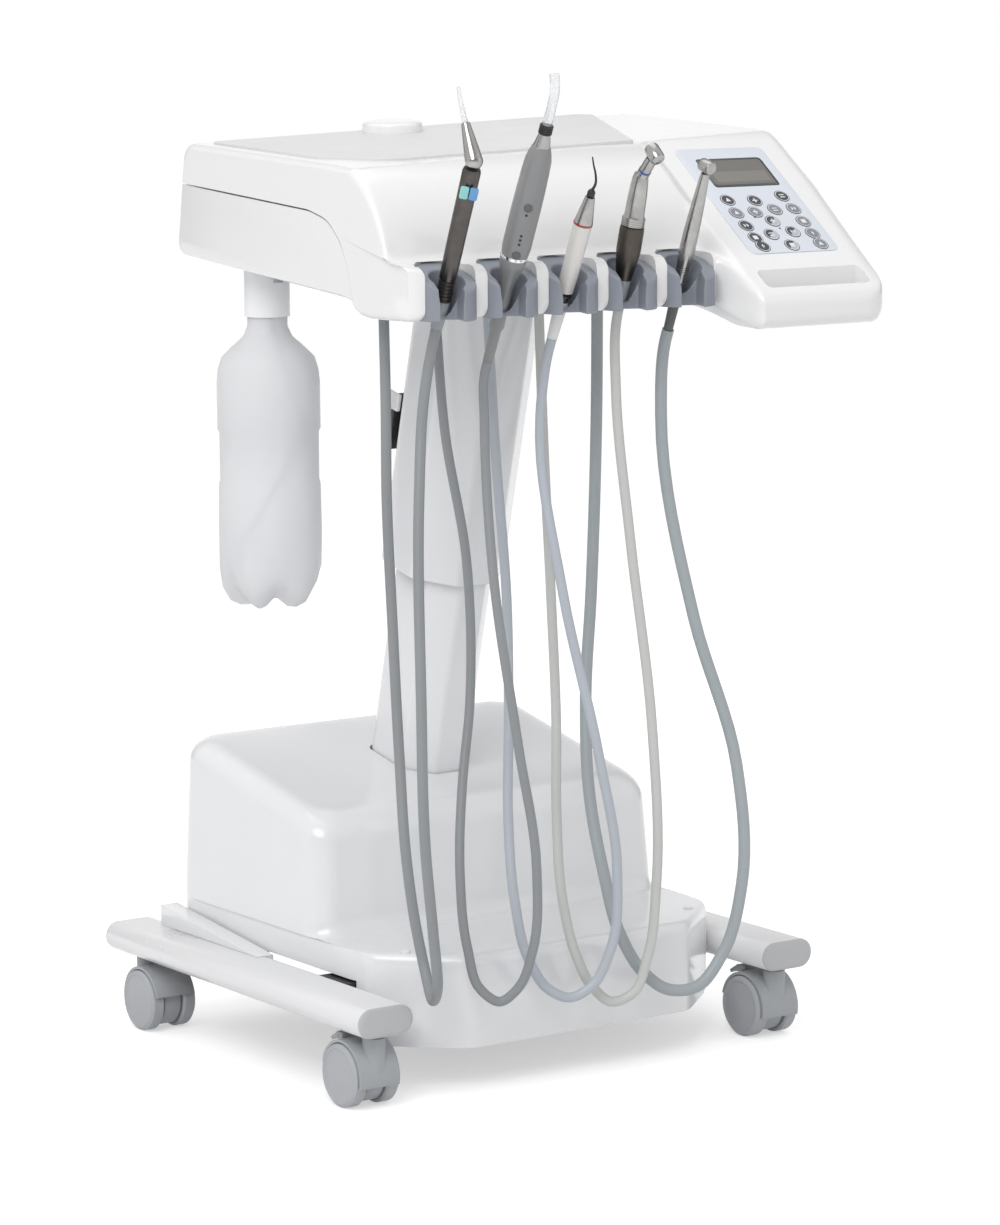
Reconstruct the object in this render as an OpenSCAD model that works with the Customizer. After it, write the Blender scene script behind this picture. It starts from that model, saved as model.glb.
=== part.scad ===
// Mobile dental delivery unit: a head with five hose-fed instruments, a keypad
// console and a water bottle, on a leaning lift column and a base with casters.
// Front is -Y, right is +X, up is +Z, all in millimetres. The modules are drawn
// about the middle of the two rails, and placed() brings the origin to the
// floor under the middle of the whole unit.

/* [Base] */
// Distance between the centre lines of the side rails
rail_pitch = 390; // [386:1:394]
// Width of the oval rail tube
rail_w = 50; // [49:0.5:51]
// Height of the oval rail tube
rail_h = 24; // [23:0.5:25]
// Height of the rail's centre above the floor
rail_z = 72; // [72:0.5:73]
// Front end of the rails
rail_front = -250; // [-251:1:-248]
// Rear end of the rails
rail_rear = 145; // [144:1:147]
// Width of the base cover at its foot
cover_w = 340; // [338:1:340]
// Front wall of the base cover at its foot
cover_front = -108; // [-110:1:-106]
// Rear wall of the base cover at its foot
cover_rear = 112; // [111:1:113]
// Height of the cover's top above the floor, at the middle of the base
cover_top = 224; // [222:1:226]
// Fall of the cover's top towards the front, in degrees
cover_slope = 12; // [11:0.5:13]
// Front face of the low plinth
plinth_front = -233; // [-234:1:-231]
// Top of the low plinth
plinth_top = 108; // [106:1:110]
// Underside of the plinth's front apron
apron_z = 35; // [34:1:38]
// Wall of the moulded covers
wall = 3; // [2.8:0.1:3.2]

/* [Casters] */
// Diameter of a caster wheel
wheel_d = 50; // [49.5:0.5:50]
// Width of one wheel of a pair
wheel_w = 12.6; // [12:0.2:13]
// Distance from the swivel stem back to the axle
trail = 19; // [18:0.5:20]
// Front caster stems
stem_front = -231; // [-232:1:-230]
// Rear caster stems
stem_rear = 118; // [116:1:120]

/* [Column] */
// Lean of the column towards the front, in degrees
lean = 14.5; // [14:0.5:15]
// Width of the upper sleeve
upper_w = 92; // [91:0.5:94]
// Depth of the upper sleeve
upper_d = 82; // [82:0.5:84]
// Width of the lower sleeve
lower_w = 64; // [62:1:66]
// Depth of the lower sleeve
lower_d = 74; // [72:1:74]
// Lower end of the upper sleeve along the column's axis
upper_foot = 155; // [150:1:160]

/* [Head] */
// Left side of the head
head_left = -170; // [-171:0.5:-169]
// Joint between the head and the console
console_left = 138; // [137.5:0.5:138.5]
// Right side of the console
console_right = 270; // [268:1:272]
// Height of the roof over the middle of the rails
roof_z = 735; // [734:1:736]
// Rise of the roof towards the right, in degrees
roof_roll = 2; // [1.5:0.5:2.5]
// Fall of the roof towards the front, in degrees
roof_fall = 2.7; // [2.5:0.1:3]
// Slope of the keypad, in degrees
keypad_slope = 37; // [36.5:0.5:37.5]

/* [Instruments] */
// First holder's centre, from the middle
holder_x0 = -132.5; // [-133:0.5:-132]
// Distance between holders
holder_pitch = 56.5; // [56:0.5:57]
// Outer diameter of a holder
holder_d = 47; // [46:0.5:47]

/* [Bottle] */
// Diameter of the water bottle
bottle_d = 84; // [82:1:85]
// Axis of the bottle, left to right
bottle_x = -122; // [-123:1:-121]
// Axis of the bottle, front to back
bottle_y = 30; // [29:1:31]

/* [Hidden] */
$fn = 48;

// Middle of the whole unit, from the middle of the rails
mid_x = (console_right - rail_pitch / 2 - rail_w / 2) / 2;
light_end_y = -315.7; // foremost point of all, the end of the light guide
mid_y = (rail_rear + light_end_y) / 2;

rail_x = rail_pitch / 2;
rail_top = rail_z + rail_h / 2;
rail_under = rail_z - rail_h / 2;
tube_wall = 2.5;
cap_t = 2;
stem_r = 5;
gap = 0.3;
run = 0.05; // radial play of a shaft in its bore

// Column axis: a point on it, and stations along it
axis_y = -10;
axis_z = 235;
mast_foot_z = 86;
mast_d = 50;
mast_bore = 44;
mast_end = 330;
slide_d = 40;
slide_bore = 34;
slide_foot = 20;
slide_end = 418;
lower_end = 330;
spring_r = 11;
rod_r = 4;
lever_t = 287;

// Holder ring height and the line of the ring centres
ring_y = -247;
ring_z0 = 607;
ring_z1 = 651;
rim_z = 639.5; // rim at the middle of a ring
rim_fall = 25; // fall of the rim towards the front, in degrees
slot_turn = 20; // the slot looks a little to the left
slot_w = 18;
pivot_z = 632;

// Keypad plane: lower left corner of the overlay
pad_x = 150;
pad_y = -259;
pad_z = 645;
pad_w = 89;
pad_l = 131;
key_r = 6.8;
// Handle opening, as left, right, rear and front
grip = [142, 246, -274, -291];
// Blanking cap on the roof
post_at = [6, 38];
post_r = 25;

// ---- helpers ----

// Points along an arc
function arc(c, r, a0, a1, n = 8) =
    [for (i = [0:n]) c + r * [cos(a0 + (a1 - a0) * i / n), sin(a0 + (a1 - a0) * i / n)]];

// Outline of a rounded rectangle about the origin
function round_rect(w, d, r) = concat(
    arc([w / 2 - r, d / 2 - r], r, 0, 90), arc([r - w / 2, d / 2 - r], r, 90, 180),
    arc([r - w / 2, r - d / 2], r, 180, 270), arc([w / 2 - r, r - d / 2], r, 270, 360));

function holder_x(i) = holder_x0 + i * holder_pitch;
function cover_z(y) = cover_top + y * tan(cover_slope);
// Height of the head's underside, which falls towards the front
function under_z(y) = 634.8 + 0.09 * y;
function floor_z(y) = under_z(y) + wall + 0.1;

module placed() translate([-mid_x, -mid_y, 0]) children();

// Extrudes an outline drawn in Y and Z from x0 to x1
module along_x(x0, x1) translate([x0, 0, 0]) rotate([90, 0, 90]) linear_extrude(x1 - x0) children();

// Extrudes an outline drawn in X and Z from y0 to y1
module along_y(y0, y1) translate([0, y1, 0]) rotate([90, 0, 0]) linear_extrude(y1 - y0) children();

// The column's frame: Z runs up its axis
module leaning() translate([0, axis_y, axis_z]) rotate([lean, 0, 0]) children();

// The roof's frame
module on_roof() translate([0, 0, roof_z]) rotate([roof_fall, -roof_roll, 0]) children();

// The keypad's frame: X to the right, Y up the slope, Z out of it
module on_pad() translate([pad_x, pad_y, pad_z]) rotate([keypad_slope, 0, 0]) children();

// The frame of the instrument in holder i: Z runs up its own axis
module in_holder(i) translate([holder_x(i), ring_y + shifts[i], pivot_z]) rotate([tips[i], 0, 0]) children();

module oval(w, h) {
    square([w - h, h], center = true);
    for (s = [-1, 1]) translate([s * (w - h) / 2, 0]) circle(d = h);
}

// Turns a half profile of [radius, height] points
module turned(points) rotate_extrude() polygon(points);

// A round bar between two heights
module bar(r, z0, z1) translate([0, 0, z0]) cylinder(r = r, h = z1 - z0);

// ---- base ----

module side_rails() {
    color("white") placed() for (side = [-1, 1]) difference() {
        along_y(rail_front + cap_t, rail_rear - cap_t) translate([side * rail_x, rail_z]) difference() {
            oval(rail_w, rail_h);
            oval(rail_w - 2 * tube_wall, rail_h - 2 * tube_wall);
        }
        for (y = [stem_front, stem_rear])
            translate([side * rail_x, y, rail_under - 1]) cylinder(r = stem_r + 0.1, h = 6);
    }
}

module rail_end_caps() {
    plug_w = rail_w - 2 * tube_wall - 0.4;
    plug_h = rail_h - 2 * tube_wall - 0.4;
    color("lightgray") placed() for (side = [-1, 1]) {
        along_y(rail_front, rail_front + cap_t - 0.1) translate([side * rail_x, rail_z]) oval(rail_w, rail_h);
        along_y(rail_front + 1, rail_front + 10) translate([side * rail_x, rail_z]) oval(plug_w, plug_h);
        along_y(rail_rear - cap_t + 0.1, rail_rear) translate([side * rail_x, rail_z]) oval(rail_w, rail_h);
        along_y(rail_rear - 14, rail_rear - 1) translate([side * rail_x, rail_z]) oval(plug_w, plug_h);
    }
}

// Two steel cross beams, the deck on them and the block that takes the mast
module chassis_frame() {
    color("dimgray") placed() difference() {
        union() {
            for (y = [-140, 70]) along_x(-rail_x, rail_x) difference() {
                translate([y - 20, 62]) square([40, 20]);
                translate([y - 17, 65]) square([34, 14]);
            }
            translate([-150, -125, 81]) cube([300, 225, 5]);
            translate([-45, -15, 60]) cube([90, 90, 22]);
        }
        for (x = [-32, 32], y = [-4, 62]) translate([x, y, 59]) cylinder(r = 3.2, h = 30);
        for (side = [-1, 1]) along_y(-170, 100)
            translate([side * rail_x, rail_z]) oval(rail_w + 0.4, rail_h + 0.4);
    }
}

module cover_form(inset) {
    r = 22 - inset;
    hull() {
        translate([0, (cover_front + cover_rear) / 2, rail_top + (inset > 0 ? -1 : gap)])
            linear_extrude(1)
                polygon(round_rect(cover_w - 2 * inset, cover_rear - cover_front - 2 * inset, 24 - inset));
        for (x = [-1, 1], y = [cover_front + 28, cover_rear - 28])
            translate([x * (cover_w / 2 - 26), y, cover_z(y) - 22 / cos(cover_slope)])
                sphere(r = r, $fn = 32);
    }
}

function plinth_outline(i) = [
    [-168 + i, inner_rear(i)], [-168 + i, -178 + 0.45 * i], [-100 + 0.45 * i, plinth_front + i],
    [100 - 0.45 * i, plinth_front + i], [168 - i, -178 + 0.45 * i], [168 - i, inner_rear(i)]];
function inner_rear(i) = i > 0 ? -70 : -90;

module plinth_form(inset)
    translate([0, 0, apron_z - (inset > 0 ? 1 : 0)])
        linear_extrude(plinth_top - apron_z - (inset > 0 ? inset - 1 : 0)) polygon(plinth_outline(inset));

// One moulding: the tall drafted box and the plinth in front of it
module base_cover() {
    color("white") placed() difference() {
        union() {
            cover_form(0);
            plinth_form(0);
        }
        cover_form(wall);
        plinth_form(wall);
        // The apron's lower edge climbs to the front cross beam, which passes under the skirt
        along_x(-200, 200)
            polygon([[-190, 20], [-190, apron_z], [-163, 61], [-163, 83], [-40, 83], [-40, 20]]);
        leaning() translate([0, 0, -60]) linear_extrude(120) polygon(sleeve_outline(3));
        translate([-66, 80, 112]) cube([132, 60, 62]);
    }
}

// Wedge that closes the gap between the cover's foot and the top of each rail
module rail_saddles() {
    color("white") placed() for (side = [-1, 1]) difference() {
        along_x(side > 0 ? 171.2 : -187, side > 0 ? 187 : -171.2)
            polygon([[108, 78], [108, 101], [-45, rail_top + 0.4], [-45, 78]]);
        along_y(-60, 120) translate([side * rail_x, rail_z]) oval(rail_w + 0.4, rail_h + 0.4);
        // Notch over the rear cross beam
        along_x(-200, 200) translate([49.7, 60]) square([40.6, 22.3]);
    }
}

// Screw plugs on the plinth and screws in the cover's rear wall
module cover_screws() {
    color("gainsboro") placed() {
        for (x = [-138, 138]) translate([x, -190, plinth_top + 0.1]) cylinder(r = 4, h = 2);
        for (x = [-110, 110]) translate([x, 111.6, 104]) rotate([-90, 0, 0]) cylinder(r = 4, h = 2);
    }
}

module power_supply() {
    color("silver") placed() {
        translate([-140, -80, 92]) cube([95, 115, 60]);
        for (x = [-130, -60], y = [-70, 20]) translate([x, y, 86.2]) cylinder(r = 5, h = 5.8);
    }
}

// Filter bowl and pressure regulator for the air supply
module air_regulator() {
    color("lightsteelblue") placed() translate([90, -10, 0]) {
        bar(20, 92, 140);
        translate([-24, -24, 140]) cube([48, 48, 24]);
        bar(12, 164, 178);
        translate([-30, -12, 86.2]) cube([8, 24, 66]);
        translate([-30, -12, 144]) cube([10, 24, 8]);
    }
}

// Panel in the cover's rear wall: mains inlet, fuse cap, and air and water couplings
module rear_inlet_panel() {
    color("darkgray") placed() {
        difference() {
            translate([-65, 102, 113]) cube([130, 3, 60]);
            translate([-52, 97, 128]) cube([28, 12, 22]);
        }
        translate([-53, 94, 127]) difference() {
            cube([30, 11, 24]);
            translate([2, 3, 2]) cube([26, 12, 20]);
        }
        translate([-5, 98, 140]) rotate([-90, 0, 0]) cylinder(r = 7, h = 11);
        for (x = [24, 48]) translate([x, 96, 140]) rotate([-90, 0, 0]) difference() {
            cylinder(r = 6, h = 22);
            translate([0, 0, 8]) cylinder(r = 3, h = 20);
        }
    }
}

module caster_stems() {
    color("silver") placed() for (x = [-rail_x, rail_x], y = [stem_front, stem_rear]) translate([x, y, 0]) {
        bar(stem_r, 34, rail_under + 8);
        bar(7, 57.2, rail_under - 0.05);
    }
}

// ---- casters: drawn with the stem on the Z axis and the axle behind it ----

module at_caster(side, front) translate([side * rail_x, front ? stem_front : stem_rear, 0])
    rotate([0, 0, front ? 0 : 180]) placed_parts() children();
module placed_parts() children();

// Part of the hood that stays: it reaches low in front and ends high behind
hood_w = 36;
hood_cut = [[0, 0], [-60, -14], [-60, 60], [60, 60], [60, 14]];

module hood(side, front) {
    axle_z = wheel_d / 2;
    color("lightgray") placed() at_caster(side, front) difference() {
        union() {
            along_x(-7.5, 7.5) translate([trail, axle_z]) circle(r = 22);
            along_x(-hood_w / 2, hood_w / 2) translate([trail, axle_z]) intersection() {
                difference() {
                    circle(r = 28.2);
                    circle(r = 25.8);
                }
                polygon(hood_cut);
            }
            along_x(-7.5, 7.5) translate([trail, axle_z]) intersection() {
                circle(r = 28);
                polygon(hood_cut);
            }
            bar(9, 30, 56.5);
            if (front) for (x = [-11, 8.4])
                translate([x, trail + 9, axle_z + 25.2]) cube([2.6, 8, 5.8]);
        }
        translate([0, 0, 29]) cylinder(r = stem_r + run, h = 40);
        translate([-30, trail, axle_z]) rotate([0, 90, 0]) cylinder(r = 3 + run, h = 60);
        if (front) translate([-20, trail + 13.5, axle_z + 28]) rotate([0, 90, 0]) cylinder(r = 1.25, h = 40);
        if (front) translate([-8.4, trail + 8, axle_z + 25.2]) cube([16.8, 12, 10]);
    }
}

// Two wheels on one axle
module wheels(side, front) {
    color("darkgray") placed() at_caster(side, front) translate([0, trail, wheel_d / 2]) rotate([0, 90, 0]) {
        translate([0, 0, -20]) cylinder(r = 3, h = 40);
        for (s = [0, 1]) mirror([0, 0, s]) translate([0, 0, 9]) turned([
            [0, 0], [wheel_d / 2 - 1.5, 0], [wheel_d / 2, 1.5], [wheel_d / 2, wheel_w - 3],
            [wheel_d / 2 - 2, wheel_w - 0.8], [wheel_d / 2 - 5, wheel_w], [0, wheel_w]]);
    }
}

// Foot tab on the hood that locks the wheels
module brake(side) {
    color("gray") placed() at_caster(side, true) translate([0, trail, wheel_d / 2]) {
        along_x(-8, 8) polygon([[9.5, 26.4], [12, 30], [20, 30], [30, 24], [29, 21.5], [18, 26.4]]);
        translate([-10.8, 13.5, 28]) rotate([0, 90, 0]) cylinder(r = 1.2, h = 21.6);
    }
}

module caster_hood_fl() hood(-1, true);
module caster_hood_fr() hood(1, true);
module caster_hood_rl() hood(-1, false);
module caster_hood_rr() hood(1, false);
module caster_wheels_fl() wheels(-1, true);
module caster_wheels_fr() wheels(1, true);
module caster_wheels_rl() wheels(-1, false);
module caster_wheels_rr() wheels(1, false);
module brake_lever_fl() brake(-1);
module brake_lever_fr() brake(1);

// ---- column ----

// Section of a sleeve: round at the rear, chamfered in front
function sleeve(w, d, c, r) = concat(
    [[-w / 2, c - d / 2], [c - w / 2, -d / 2], [w / 2 - c, -d / 2], [w / 2, c - d / 2]],
    arc([w / 2 - r, d / 2 - r], r, 0, 90), arc([r - w / 2, d / 2 - r], r, 90, 180));
function sleeve_outline(grow) = sleeve(lower_w + grow, lower_d + grow, 20, 12);

module mast_tube() {
    color("silver") placed() intersection() {
        union() {
            leaning() difference() {
                bar(mast_d / 2, -200, mast_end);
                bar(mast_bore / 2, -201, mast_end + 1);
            }
            translate([0, 29, mast_foot_z]) difference() {
                translate([-45, -45, 0]) cube([90, 90, 6]);
                for (x = [-32, 32], y = [-33, 33]) translate([x, y, -1]) cylinder(r = 3.2, h = 10);
            }
        }
        translate([-100, -300, mast_foot_z + 0.1]) cube([200, 500, 600]);
    }
}

// Two bushes pressed into the mast, which guide the sliding tube
module glide_bushes() {
    color("ivory") placed() leaning() for (z = [200, 312]) difference() {
        bar(mast_bore / 2 - 0.02, z, z + 16);
        bar(slide_d / 2 + run, z - 1, z + 17);
    }
}

module sliding_tube() {
    color("silver") placed() leaning() {
        difference() {
            bar(slide_d / 2, slide_foot, slide_end);
            bar(slide_bore / 2, slide_foot - 1, slide_end + 1);
        }
        // Disc that the gas spring's rod pushes against
        bar(slide_bore / 2 + 1, 402, 407);
    }
    // Welded collar plate that the head's floor stands on
    color("silver") placed() difference() {
        along_x(-60, 60) polygon([[-150, floor_z(-150)], [-65, floor_z(-65)],
            [-65, floor_z(-65) + 6], [-150, floor_z(-150) + 6]]);
        leaning() bar(slide_d / 2 - 1, 360, 460);
        for (x = [-50, 50], y = [-140, -75]) translate([x, y, 600]) cylinder(r = 3.2, h = 60);
    }
}

module gas_spring_cylinder() {
    color("black") placed() leaning() {
        bar(6, -145, -139);
        difference() {
            bar(spring_r, -140, 100);
            bar(spring_r - 1.5, -135, 95);
            bar(rod_r + run, 90, 110);
        }
    }
}

module gas_spring_rod() {
    color("silver") placed() leaning() {
        bar(rod_r, -92, 401.9);
        bar(spring_r - 1.55, -92, -80);
    }
}

module lower_sleeve() {
    color("whitesmoke") placed() difference() {
        leaning() translate([0, 0, -170]) linear_extrude(lower_end + 170) difference() {
            polygon(sleeve_outline(0));
            polygon(sleeve(lower_w - 6, lower_d - 6, 18, 9));
        }
        // It stands on the mast's foot plate
        translate([-100, -100, 0]) cube([200, 300, mast_foot_z + 6.2]);
    }
}

module upper_sleeve() {
    color("white") placed() difference() {
        union() {
            leaning() translate([0, 0, upper_foot])
                linear_extrude(290) polygon(sleeve(upper_w, upper_d, 28, 14));
            leaning() for (x = [-45.5, 41.5])
                translate([x, upper_d / 2 - 2, lever_t - 7]) cube([4, 16, 14]);
        }
        leaning() translate([0, 0, upper_foot - 1]) linear_extrude(300)
            polygon(sleeve(upper_w - 6, upper_d - 6, 26.5, 11));
        along_x(-80, 80)
            polygon([[-300, under_z(-300) - gap], [200, under_z(200) - gap], [200, 900], [-300, 900]]);
        leaning() translate([-50, upper_d / 2 + 9, lever_t]) rotate([0, 90, 0]) cylinder(r = 2.05, h = 100);
    }
}

// Paddle behind the upper sleeve that opens the gas spring's valve
module release_lever() {
    color("#202020") placed() leaning() {
        along_x(-41, 41) translate([upper_d / 2, lever_t]) polygon([
            [7, 4], [11.5, 4], [12, -3], [13, -35], [12, -43], [8.5, -43], [7, -35]]);
        translate([-45, upper_d / 2 + 9, lever_t]) rotate([0, 90, 0]) cylinder(r = 2, h = 90);
    }
}

// ---- head ----

// Side view of the head: rear wall, roof allowance, front sweep, nose, underside
function head_side() = concat(
    arc([82, 652], 10, -85, 5), [[74, 770], [-110, 770]],
    arc([-122, 632], 102, 97, 165), [[-224, 651.5], [-230, 649]], arc([-244, 638], 10, 90, 180),
    arc([-244, 617], 10, 180, 270), [[-190, 607], [-177, 612], [-172, under_z(-172)]]);
function head_cavity() = concat(
    arc([81, 653], 8, -85, 5), [[71, 770], [-110, 770]],
    arc([-122, 632], 99, 97, 158), [[-213, 640], [-200, 626], [-168, under_z(-168) + wall]]);

// Region of the lower tub in the side view, shrunk by g
function tub_side(g) = [
    [110, 560], [110, 702.5 - g], [-112, 686.6 - g], [-140 + g / 2, 680 - g], [-158 + g, 664 - g],
    [-168 + g, 645], [-175 + g, 619], [-175 + g, 560]];

// Plan view of the head with its left corners rounded, shrunk by i
function head_plan(i) = concat(
    [[console_left - i, -300], [console_left - i, 100]], arc([head_left + 16, 76], 16 - i, 90, 180),
    arc([head_left + 16, -238], 16 - i, 180, 270));

// Block under the roof plane, rounded along both sides
module roof_block(i) on_roof() along_y(-400, 300) polygon(concat(
    [[console_right - i, -300]], arc([console_right - 14, -14], 14 - i, 0, 90),
    arc([head_left + 14, -14], 14 - i, 90, 180), [[head_left + i, -300]]));

module upright(outline) translate([0, 0, 500]) linear_extrude(400) polygon(outline);

module head_form() intersection() {
    along_x(head_left, console_left) polygon(head_side());
    upright([for (p = head_plan(0)) [p[0], min(p[1], 92)]]);
    roof_block(0);
}

module head_hollow() intersection() {
    along_x(head_left + wall, console_left - wall) polygon(head_cavity());
    upright([for (p = head_plan(wall)) [p[0], min(p[1], 92 - wall)]]);
    roof_block(wall);
}

module head_cuts() {
    // Holder seats in the nose
    for (i = [0:4]) translate([holder_x(i), ring_y, 560]) cylinder(d = holder_d + 0.6, h = ring_z1 + 2 - 560);
    // Way in for the sliding tube
    leaning() bar(slide_d / 2 + 3, 380, 440);
    // Water bottle and hose glands
    translate([bottle_x, bottle_y, 600]) cylinder(r = 12, h = 60);
    for (e = outlets) translate([e[0], e[1], 600]) cylinder(r = 6.2, h = 40);
}

module head_top_shell() {
    color("white") placed() difference() {
        head_form();
        head_hollow();
        along_x(head_left - 5, console_left + 5) polygon(tub_side(0));
        head_cuts();
    }
}

module head_lower_shell() {
    color("white") placed() difference() {
        intersection() {
            head_form();
            along_x(head_left - 5, console_left + 5) polygon(tub_side(gap));
        }
        head_hollow();
        head_cuts();
    }
}

// Grey work surface on the roof; its right edge runs slantwise over the console
module tray_panel() {
    color("silver") placed() on_roof() translate([0, 0, 0.1]) linear_extrude(1.6) difference() {
        polygon(concat(
            arc([-146, 54], 10, 90, 180), arc([-120, -115], 36, 180, 250), [[114, -150], [219, 52]],
            arc([212, 58], 6, 0, 90, 4)));
        translate(post_at) circle(r = post_r + gap);
    }
}

// Blanking cap of the accessory post socket, in a hole near the tray's rear edge
module post_socket_cap() {
    color("white") placed() on_roof() translate([post_at[0], post_at[1], 0.1])
        turned(concat([[0, 0], [post_r, 0]], arc([post_r - 4, 5.7], 4, 0, 90, 6), [[10, 10.7], [0, 11.1]]));
}

// Side view of the console: back, top, keypad slope, handle, underside
function console_side() = concat(
    [[60, 643]], arc([44, 734], 20, 5, 85), arc([-105, 674], 70, 90, 127, 6),
    arc([-286, 607.2], 14, 127, 180),
    arc([-290, 599], 10, 180, 270, 5), [[-264, 591], [-244, 601], [-180, 616]]);
function console_cavity() = concat(
    [[57, 646]], arc([41, 734], 20, 5, 85), arc([-105, 674], 67, 90, 127, 6),
    [[-268, 634], [-268, 612], [-245, 612], [-237, 606.5], [-180, 619.3]]);

// Plan view of the console with its corners rounded, shrunk by i
function console_plan(i) = concat(
    [[console_left + 0.2 + i, 90], [console_left + 0.2 + i, -254.4], [126 + i, -254.4]],
    arc([132, -294], 6, 180, 270, 4), arc([246, -288], 12 - i, 270, 360),
    [[console_right - i, -190]], arc([console_right - 38, 22], 38 - i, 0, 90));

// Block under the keypad's slope, rounded along its right edge
module slope_block(i) on_pad() along_y(-120, 400) polygon(concat(
    [[-40, -300], [console_right - pad_x - i, -300]],
    arc([console_right - pad_x - 14, -14], 14 - i, 0, 90), [[-40, -i]]));

module console_housing() {
    color("white") placed() difference() {
        intersection() {
            along_x(120, console_right) polygon(console_side());
            upright(console_plan(0));
            roof_block(0);
            slope_block(0);
        }
        intersection() {
            along_x(console_left + wall, console_right - wall) polygon(console_cavity());
            upright(console_plan(wall));
            roof_block(wall);
            slope_block(wall);
        }
        // Handle opening
        translate([(grip[0] + grip[1]) / 2, (grip[2] + grip[3]) / 2, 560])
            linear_extrude(120) polygon(round_rect(grip[1] - grip[0], grip[2] - grip[3], 5));
        // Seat of the overlay and window to the display
        on_pad() translate([pad_w / 2, pad_l / 2, -0.2])
            linear_extrude(20) polygon(round_rect(pad_w + 0.4, pad_l + 0.4, 7));
        on_pad() translate([14, 82, -12]) cube([66, 36, 20]);
    }
}

// Keypad film with its window, and the raised keys on it
module keypad_overlay() {
    color("lightsteelblue") placed() on_pad() {
        difference() {
            translate([pad_w / 2, pad_l / 2, 0]) linear_extrude(0.8) polygon(round_rect(pad_w, pad_l, 6));
            translate([14, 82, -1]) cube([66, 36, 4]);
        }
        for (k = keys) translate([k[0], k[1], 0.8]) cylinder(r = key_r, h = 0.5);
    }
}

module display_module() {
    color("dimgray") placed() on_pad() {
        difference() {
            translate([14.4, 82.4, -6]) cube([65.2, 35.2, 7]);
            translate([19, 87, 0.4]) cube([56, 26, 3]);
        }
        translate([16, 84, -9]) cube([62, 32, 2.9]);
    }
}

// Circuit board behind the keypad
module control_board() {
    color("green") placed() on_pad() {
        translate([8, 10, -16]) cube([74, 64, 1.6]);
        for (p = [[18, 20], [44, 22], [24, 48], [58, 50]]) translate([p[0], p[1], -14.4]) cube([12, 10, 3]);
        for (x = [11, 79], y = [13, 71]) translate([x, y, -14.5]) cylinder(r = 2.5, h = 11);
    }
}

// Manifold with five solenoid valves that switch air and water to the instruments
module valve_block() {
    color("silver") placed() {
        translate([-120, -70, 646]) cube([210, 40, 22]);
        for (i = [0:4]) translate([-100 + 42.5 * i, -50, 668]) cylinder(r = 13, h = 30);
        for (x = [-110, 80]) translate([x, -50, floor_z(-46)]) cylinder(r = 4, h = 13);
    }
}

// Five C-shaped holders: each rim falls to the front, each bore is a funnel that is
// tipped like its instrument, and each slot opens to the front left
module instrument_holders() {
    rise = 40 * tan(rim_fall);
    color("slategray") placed() for (i = [0:4]) translate([holder_x(i), ring_y, 0]) difference() {
        intersection() {
            translate([0, 0, ring_z0]) cylinder(d = holder_d, h = ring_z1 - ring_z0);
            along_x(-40, 40) polygon([[-40, 600], [40, 600], [40, rim_z + rise], [-40, rim_z - rise]]);
        }
        in_own_bore(i) turned([
            [0, -50], [bore_low, -50], [bore_low, -20], [bore_mid, -4],
            [bore_high, 8], [bore_high, 40], [0, 40]]);
        // Slot for the hose, wider at the top where the lips flare
        rotate([0, 0, -slot_turn]) {
            translate([-slot_w / 2, -40, ring_z0 - 1]) cube([slot_w, 40, ring_z1 - ring_z0 + 2]);
            along_y(-40, 0) polygon([
                [-slot_w / 2, 622], [-13, ring_z1 + 1], [13, ring_z1 + 1], [slot_w / 2, 622]]);
        }
    }
}

// The frame of holder i's tapered bore, as seen from the holder's own middle
module in_own_bore(i) translate([0, shifts[i], pivot_z]) rotate([tips[i], 0, 0]) children();

// Hose glands under the head, and the two small fittings beside the bottle cap
module hose_outlets() {
    color("gray") placed() {
        for (e = outlets) translate([e[0], e[1], 0]) difference() {
            union() {
                bar(7.5, outlet_z, under_z(e[1]) - 0.9);
                bar(6, outlet_z, under_z(e[1]) + 7);
            }
            bar(2.5, outlet_z - 1, under_z(e[1]) + 8);
        }
        translate([-128, 2, 0]) bar(4, 622, under_z(2) - 0.8);
        translate([-96, 8, 0]) bar(5, 618, under_z(8) - 0.8);
    }
}

// ---- water bottle ----

module bottle_cap() {
    color("white") placed() translate([bottle_x, bottle_y, 0]) turned([
        [0, 600], [3.5, 600], [3.5, 612], [17, 612], [17, 593], [18.5, 593], [18.5, 634], [9, 634.5],
        [9, 641], [0, 641]]);
}

module water_bottle() {
    r = bottle_d / 2;
    color("whitesmoke") placed() translate([bottle_x, bottle_y, 0]) turned([
        [14.5, 609], [16.4, 609], [16.4, 585], [20, 577], [30, 568], [38, 560], [r - 1, 550], [r, 540],
        [r, 502], [r - 1.5, 499], [r - 1.5, 460], [r - 0.5, 457], [r, 420], [r, 388], [r - 2, 372],
        [r - 8, 361], [r - 16, 357], [18, 357], [8, 362], [0, 363],
        [0, 365], [8, 364], [18, 359], [r - 16, 359], [r - 9.2, 362.6], [r - 3.6, 373], [r - 1.6, 388],
        [r - 1.6, 420], [r - 2.1, 456], [r - 3.1, 461], [r - 3.1, 498], [r - 1.6, 503], [r - 1.6, 540],
        [r - 2.6, 549], [37, 558.4], [29, 566.4], [18.6, 576], [14.5, 585]]);
}

// Suction tube that hangs bowed in the bottle
module dip_tube() color("lightsteelblue") placed() translate([bottle_x, bottle_y, 0]) hose(dip_route, 2.5);

// ---- instruments: heights are from the middle of the holder ----

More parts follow.
